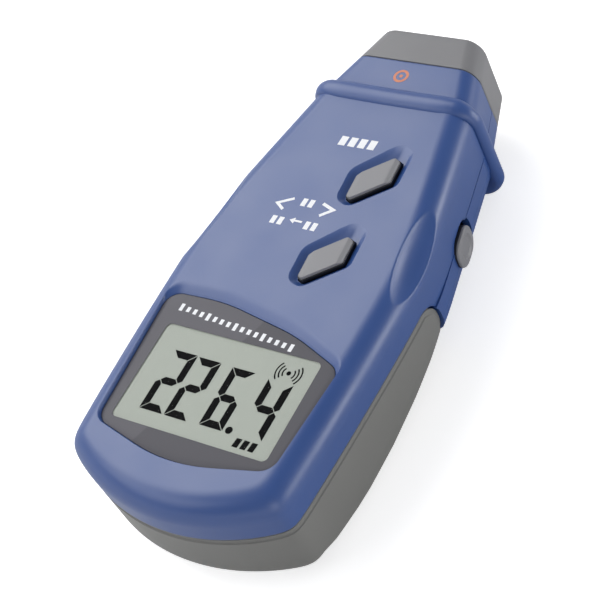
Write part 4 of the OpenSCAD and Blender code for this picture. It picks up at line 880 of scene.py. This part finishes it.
def mottled(name, dark, light, scale, rough_low, rough_high, bump_mm=0.0, **values):
    """A look whose colour and roughness, and bump where asked, follow a noise of the given scale."""
    made, tree, shader = material(name, srgb(*dark), rough_low, **values)
    place, cells, tint, rough = new_nodes(tree, "TexCoord", "TexNoise", "Mix", "MapRange")
    socket_value(cells, Scale=scale, Detail=3.0)
    tint.data_type = "RGBA"
    socket_value(tint, A=srgb(*dark), B=srgb(*light))
    socket_value(rough, From_Min=0.3, From_Max=0.7, To_Min=rough_low, To_Max=rough_high)
    join(tree, (place, "Object", cells, "Vector"), (cells, "Fac", tint, "Factor"),
         (tint, "Result", shader, "Base Color"), (cells, "Fac", rough, "Value"),
         (rough, "Result", shader, "Roughness"))
    if bump_mm:
        bump, = new_nodes(tree, "Bump")
        socket_value(bump, Strength=0.4, Distance=bump_mm / 1000)
        join(tree, (cells, "Fac", bump, "Height"), (bump, "Normal", shader, "Normal"))
    return made


# Display window
# Acrylic plate sunk in the face. Its border is printed dark grey, two-toned along a slant, with a row of
# plain white ticks; the clear middle is its own thin pane.
view_half, view_y0, view_y1, view_round = 24.6, -59.4, -29.5, 1.6
plate_z, plate_foot = 34.3, 32.9
border_look, tree, shader = material("printed_border", srgb(84, 84, 90), 0.3, Specular_IOR_Level=0.16)
place, slant, step, tones = new_nodes(tree, "TexCoord", "VectorMath", "MapRange", "Mix")
speck, rough = new_nodes(tree, "TexNoise", "MapRange")
slant.operation = "DOT_PRODUCT"
slant.inputs[1].default_value = (0.93, -0.36, 0)
socket_value(step, From_Min=0.0098, From_Max=0.0104)
tones.data_type = "RGBA"
socket_value(tones, A=srgb(92, 91, 97), B=srgb(80, 79, 85))
socket_value(speck, Scale=900.0, Detail=2.0)
socket_value(rough, To_Min=0.26, To_Max=0.36)
join(tree, (place, "Object", slant, 0), (slant, "Value", step, "Value"), (step, "Result", tones, "Factor"),
     (tones, "Result", shader, "Base Color"), (place, "Object", speck, "Vector"),
     (speck, "Fac", rough, "Value"), (rough, "Result", shader, "Roughness"))
plate_count, middle = 720, np.array([0, -43.0])
plate_line = polar(even(recess_foot, plate_count) - middle, plate_count) + middle
view_line = rounded([(view_half, view_y0, view_round), (view_half, view_y1, view_round),
                     (-view_half, view_y1, view_round), (-view_half, view_y0, view_round)], 12)
view_line = polar(view_line - middle, plate_count) + middle
toward_middle = (middle - plate_line) / np.linalg.norm(middle - plate_line, axis=1)[:, None]
border_rows = [level(plate_line + toward_middle * inset, z) for inset, z in
               ((0.3, plate_foot), (0.12, plate_foot), (0.12, plate_z - 0.12), (0.16, plate_z - 0.03),
                (0.26, plate_z))]
start = plate_line + toward_middle * 0.26
border_rows += [level(start * (1 - t) + view_line * t, plate_z) for t in (0.33, 0.66, 1.0)]
grown = (view_line - middle) * 1.06 + middle
border = np.stack(border_rows + [level(grown, plate_z - 0.12), level(grown, plate_foot), border_rows[0]])
piece("window_border", [(border, grid_faces(*border.shape[:2], closed=True))], "base", border_look,
      ["display_window"], smooth=30, outward=True)
pane_look = mottled("clear_pane", (60, 63, 64), (74, 77, 78), 120.0, 0.03, 0.06, Specular_IOR_Level=0.05,
                    Alpha=0.02)
inner = (view_line - middle) * 0.998 + middle
pane_rings = [level(inner, plate_z - 0.08), level(inner, plate_z - 0.02)]
piece("window_pane", [closed_stack(pane_rings)], "base", pane_look, smooth=30, outward=True)

# Liquid crystal display
# Grey-green reflective glass with dark seven-segment figures, a decimal point, a signal mark and unit bars.
lcd_look = mottled("lcd_polariser", (170, 176, 166), (180, 186, 176), 2600.0, 0.45, 0.6,
                   Specular_IOR_Level=0.2)
ink_look = mottled("lcd_ink", (1, 1, 2), (4, 4, 5), 3000.0, 0.55, 0.7, Specular_IOR_Level=0.05)
dress(lcd_look, "lcd_glass")
film_z, ink_lift = 34.1, 0.02
figures_shift = np.array([1.7, -1.33])


def flat_shape(points, z):
    """A flat many-sided face at height z through (x, y) points."""
    p = np.asarray(points, float)
    area = np.cross(p, np.roll(p, -1, 0)).sum()
    return level(p if area > 0 else p[::-1], z), [list(range(len(p)))]


def block(x, y, width, half_high, lean, z):
    """A flat upright block whose foot starts at x and whose top leans over to the right; y is its middle."""
    return flat_shape([(x, y - half_high), (x + width, y - half_high), (x + width + lean, y + half_high),
                       (x + lean, y + half_high)], z)


def seven(x0, x1, y0, y1, lit, w=2.1, g=0.15):
    """The lit segments (of a to g) of a figure in the box x0..x1, y0..y1, mitred where they meet."""
    m, h = (y0 + y1) / 2, w / 2
    shapes = {"a": [(x0 + g, y1), (x1 - g, y1), (x1 - w - g, y1 - w), (x0 + w + g, y1 - w)],
              "d": [(x0 + g, y0), (x1 - g, y0), (x1 - w - g, y0 + w), (x0 + w + g, y0 + w)],
              "g": [(x0 + h + g, m), (x0 + w + g, m + h), (x1 - w - g, m + h), (x1 - h - g, m),
                    (x1 - w - g, m - h), (x0 + w + g, m - h)]}
    for letter, x, sign, up, end in (("b", x1, -1, 1, y1), ("c", x1, -1, -1, y0), ("f", x0, 1, 1, y1),
                                     ("e", x0, 1, -1, y0)):
        shapes[letter] = [(x, end - up * g), (x + sign * w, end - up * (w + g)),
                          (x + sign * w, m + up * (h + g)), (x + sign * h, m + up * g),
                          (x, m + up * (h * 0.8 + g))]
    return [flat_shape(np.array(shapes[k]) + figures_shift, film_z + ink_lift) for k in lit]


def disc(x, y, r, z, count=32):
    """A flat round face."""
    a = np.linspace(0, 2 * math.pi, count, endpoint=False)
    return flat_shape([x, y] + r * circle(a), z)


def band_arc(x, y, r, width, a0, a1, z):
    """A flat arc of a band about (x, y), between two angles in degrees."""
    way = circle(np.radians(np.linspace(a0, a1, 18)))
    return flat_shape(np.vstack([way * (r + width / 2), way[::-1] * (r - width / 2)]) + [x, y], z)


film_line = (view_line - middle) * 1.04 + middle
film_points = [level(film_line, film_z - 0.3), level(film_line, film_z)]
piece("lcd_front_film", [closed_stack(film_points)], "base", lcd_look, smooth=False, outward=True)
ink = film_z + ink_lift
signal, point = figures_shift + [15.35, -33.2], figures_shift + [8.45, -52.6]
figures = seven(-19.75, -12.1, -53.7, -35.2, "abged") + seven(-11.75, -4.3, -53.7, -35.4, "abged")
figures += seven(-0.6, 6.7, -53.4, -35.6, "afgedc") + seven(10.9, 18.6, -53.1, -36.0, "fgbc")
figures += [disc(*point, 1.05, ink), disc(*signal, 0.65, ink)]
figures += [band_arc(*signal, r, 0.42, a - 42, a + 42, ink) for r in (1.75, 2.75, 3.75) for a in (0, 180)]
figures += [block(*(figures_shift + [x, -55.2]), 1.7, 1.3, 0.3, ink) for x in (11.5, 13.9, 16.3)]
piece("lcd_figures", figures, "base", ink_look, smooth=False, weld=0.0)

# Marks on the face
# Screen-printed white: plain slanted blocks and arrowheads beside the keys, a row of ticks on the window's
# border, and an orange ring on the nose.
print_white = mottled("print_white", (232, 234, 238), (246, 247, 249), 2200.0, 0.5, 0.62,
                      Specular_IOR_Level=0.3)
print_lift = 0.025
paint = face_z + print_lift


def stroke(points, width, z):
    """One flat face along a bent line of three (x, y) points, width across, mitred at the bend."""
    a, b, c = np.asarray(points, float)
    t, u = (b - a) / np.linalg.norm(b - a), (c - b) / np.linalg.norm(c - b)
    n, m = np.array([-t[1], t[0]]), np.array([-u[1], u[0]])
    mitre = (n + m) / (1 + n @ m) * width / 2
    n, m = n * width / 2, m * width / 2
    return flat_shape([a + n, b + mitre, c + m, c - m, b - mitre, a - n], z)


marks = [block(-6.9 + 3.1 * i, 37.4 + 0.05 * i, 2.2, 1.6, 0.1, paint) for i in range(4)]
marks += [stroke([(-9.6, 15.8), (-13.9, 13.4), (-11.2, 11.7)], 0.85, paint),
          stroke([(-0.4, 16.0), (3.6, 14.6), (0.5, 12.0)], 0.95, paint)]
arrow = [(-7.3, 8.9), (-5.7, 9.9), (-5.7, 9.25), (-3.3, 9.25), (-3.3, 8.6), (-5.7, 8.6), (-5.7, 7.9)]
marks.append(flat_shape(arrow, paint))
for x, y in ((-6.9, 15.2), (-12.9, 8.0), (-2.1, 8.2)):
    marks += [block(x + step_over, y, 1.5, 1.3, 0.1, paint) for step_over in (0, 2.3)]
tick_count, tick_high, tick_low = 17, 1.15, 0.8
for i in range(tick_count):
    t = i / (tick_count - 1)
    x, y = -23.6 + 37.4 * t, -24.1 - 3.5 * t
    marks.append(block(x - 0.55, y, 1.1, tick_low if i % 4 else tick_high, 0.05, plate_z + print_lift))
piece("printed_marks", marks, "base", print_white, smooth=False, weld=0.0)
print_orange = mottled("print_orange", (206, 124, 92), (222, 148, 118), 1500.0, 0.5, 0.62,
                       Specular_IOR_Level=0.3)
nose_mark, nose_mark_z, ring_points = (-1.1, 63.2), nose_top + print_lift, 49
way = circle(np.linspace(0, 2 * math.pi, ring_points))
ring = np.stack([level(way * r, nose_mark_z, nose_mark) for r in (2.3, 1.5)])
ring_faces = grid_faces(2, ring_points)[:, ::-1]
piece("nose_ring_mark", [(ring, ring_faces), disc(*nose_mark, 0.55, nose_mark_z)], "base", print_orange,
      smooth=False, weld=0.0)

# Boards and what they carry
# Glass-epoxy boards under green solder mask, black epoxy chips, a drawn steel crystal can, sleeved
# capacitors, push switches, the white moulded display holder and its pink elastomer strips.
dress(mottled("solder_mask", (18, 78, 42), (30, 104, 58), 700.0, 0.28, 0.42, 0.02),
      "main_board", "side_switch_board", "sensor_board")
dress(mottled("chip_epoxy", (22, 22, 24), (34, 34, 37), 3200.0, 0.55, 0.7, 0.01),
      "controller_chip", "small_chips", "key_switches", "side_switch")
dress(mottled("drawn_can", (190, 190, 192), (214, 214, 216), 1500.0, 0.22, 0.34, Metallic=1.0), "crystal")
dress(mottled("capacitor_sleeve", (34, 40, 72), (46, 54, 92), 900.0, 0.3, 0.42, 0.01), "capacitors")
dress(mottled("holder_white", (205, 205, 200), (222, 222, 218), 1400.0, 0.45, 0.6, 0.02), "lcd_holder")
dress(mottled("elastomer", (190, 132, 148), (210, 152, 166), 5200.0, 0.6, 0.75, 0.02), "contact_strips")

# Optics
# Matt black holder, turned brass laser barrel, polished lenses, dark red filter in the mouth, photodiode.
dress(mottled("optics_black", (15, 15, 17), (25, 25, 28), 2400.0, 0.6, 0.75, 0.02), "optics_holder")
dress(mottled("turned_brass", (176, 142, 78), (206, 172, 104), 2600.0, 0.24, 0.38, 0.01, Metallic=1.0),
      "laser_barrel")
dress(mottled("lens_glass", (226, 234, 238), (238, 244, 247), 40.0, 0.01, 0.03, Transmission_Weight=0.92,
              IOR=1.5), "receiver_lens", "laser_lens")
dress(mottled("filter_red", (60, 8, 10), (78, 12, 14), 60.0, 0.04, 0.1, Transmission_Weight=0.5, IOR=1.49),
      "nose_window")
dress(mottled("diode_package", (26, 24, 28), (40, 38, 44), 1800.0, 0.15, 0.3), "photodiode")

# Battery, leads and screws
# Nine-volt block in a printed steel jacket, its snap clip and foam pad, leads in PVC, zinc-plated screws.
jacket, tree, shader = material("battery_jacket", srgb(30, 31, 34), 0.34, Specular_IOR_Level=0.5)
place, split, band, tint = new_nodes(tree, "TexCoord", "SeparateXYZ", "MapRange", "Mix")
wear, rough = new_nodes(tree, "TexNoise", "MapRange")
socket_value(band, From_Min=-0.0305, From_Max=-0.0300)
socket_value(wear, Scale=400.0, Detail=4.0)
socket_value(rough, To_Min=0.26, To_Max=0.42)
tint.data_type = "RGBA"
socket_value(tint, A=srgb(30, 31, 34), B=srgb(178, 134, 62))
join(tree, (place, "Object", split, 0), (split, "Y", band, "Value"), (band, "Result", tint, "Factor"),
     (tint, "Result", shader, "Base Color"), (place, "Object", wear, "Vector"),
     (wear, "Fac", rough, "Value"), (rough, "Result", shader, "Roughness"))
dress(mottled("foam", (34, 34, 37), (58, 58, 62), 2600.0, 0.85, 0.95, 0.25), "battery_pad")
dress(mottled("clip_vinyl", (24, 24, 27), (36, 36, 40), 1200.0, 0.4, 0.55, 0.02), "battery_clip")
for name, dark, light, wires in (
        ("pvc_red", (150, 22, 20), (176, 34, 30), ["battery_lead_positive", "laser_leads"]),
        ("pvc_black", (18, 18, 20), (30, 30, 33), ["battery_lead_negative"]),
        ("pvc_yellow", (196, 178, 52), (214, 198, 74), ["sensor_leads"])):
    dress(mottled(name, dark, light, 1600.0, 0.35, 0.48, 0.01), *wires)
dress(mottled("zinc_plate", (178, 179, 182), (206, 207, 210), 3400.0, 0.24, 0.4, 0.01, Metallic=1.0),
      "board_screws", "case_screws", "locating_pins")
dress(jacket, "battery")
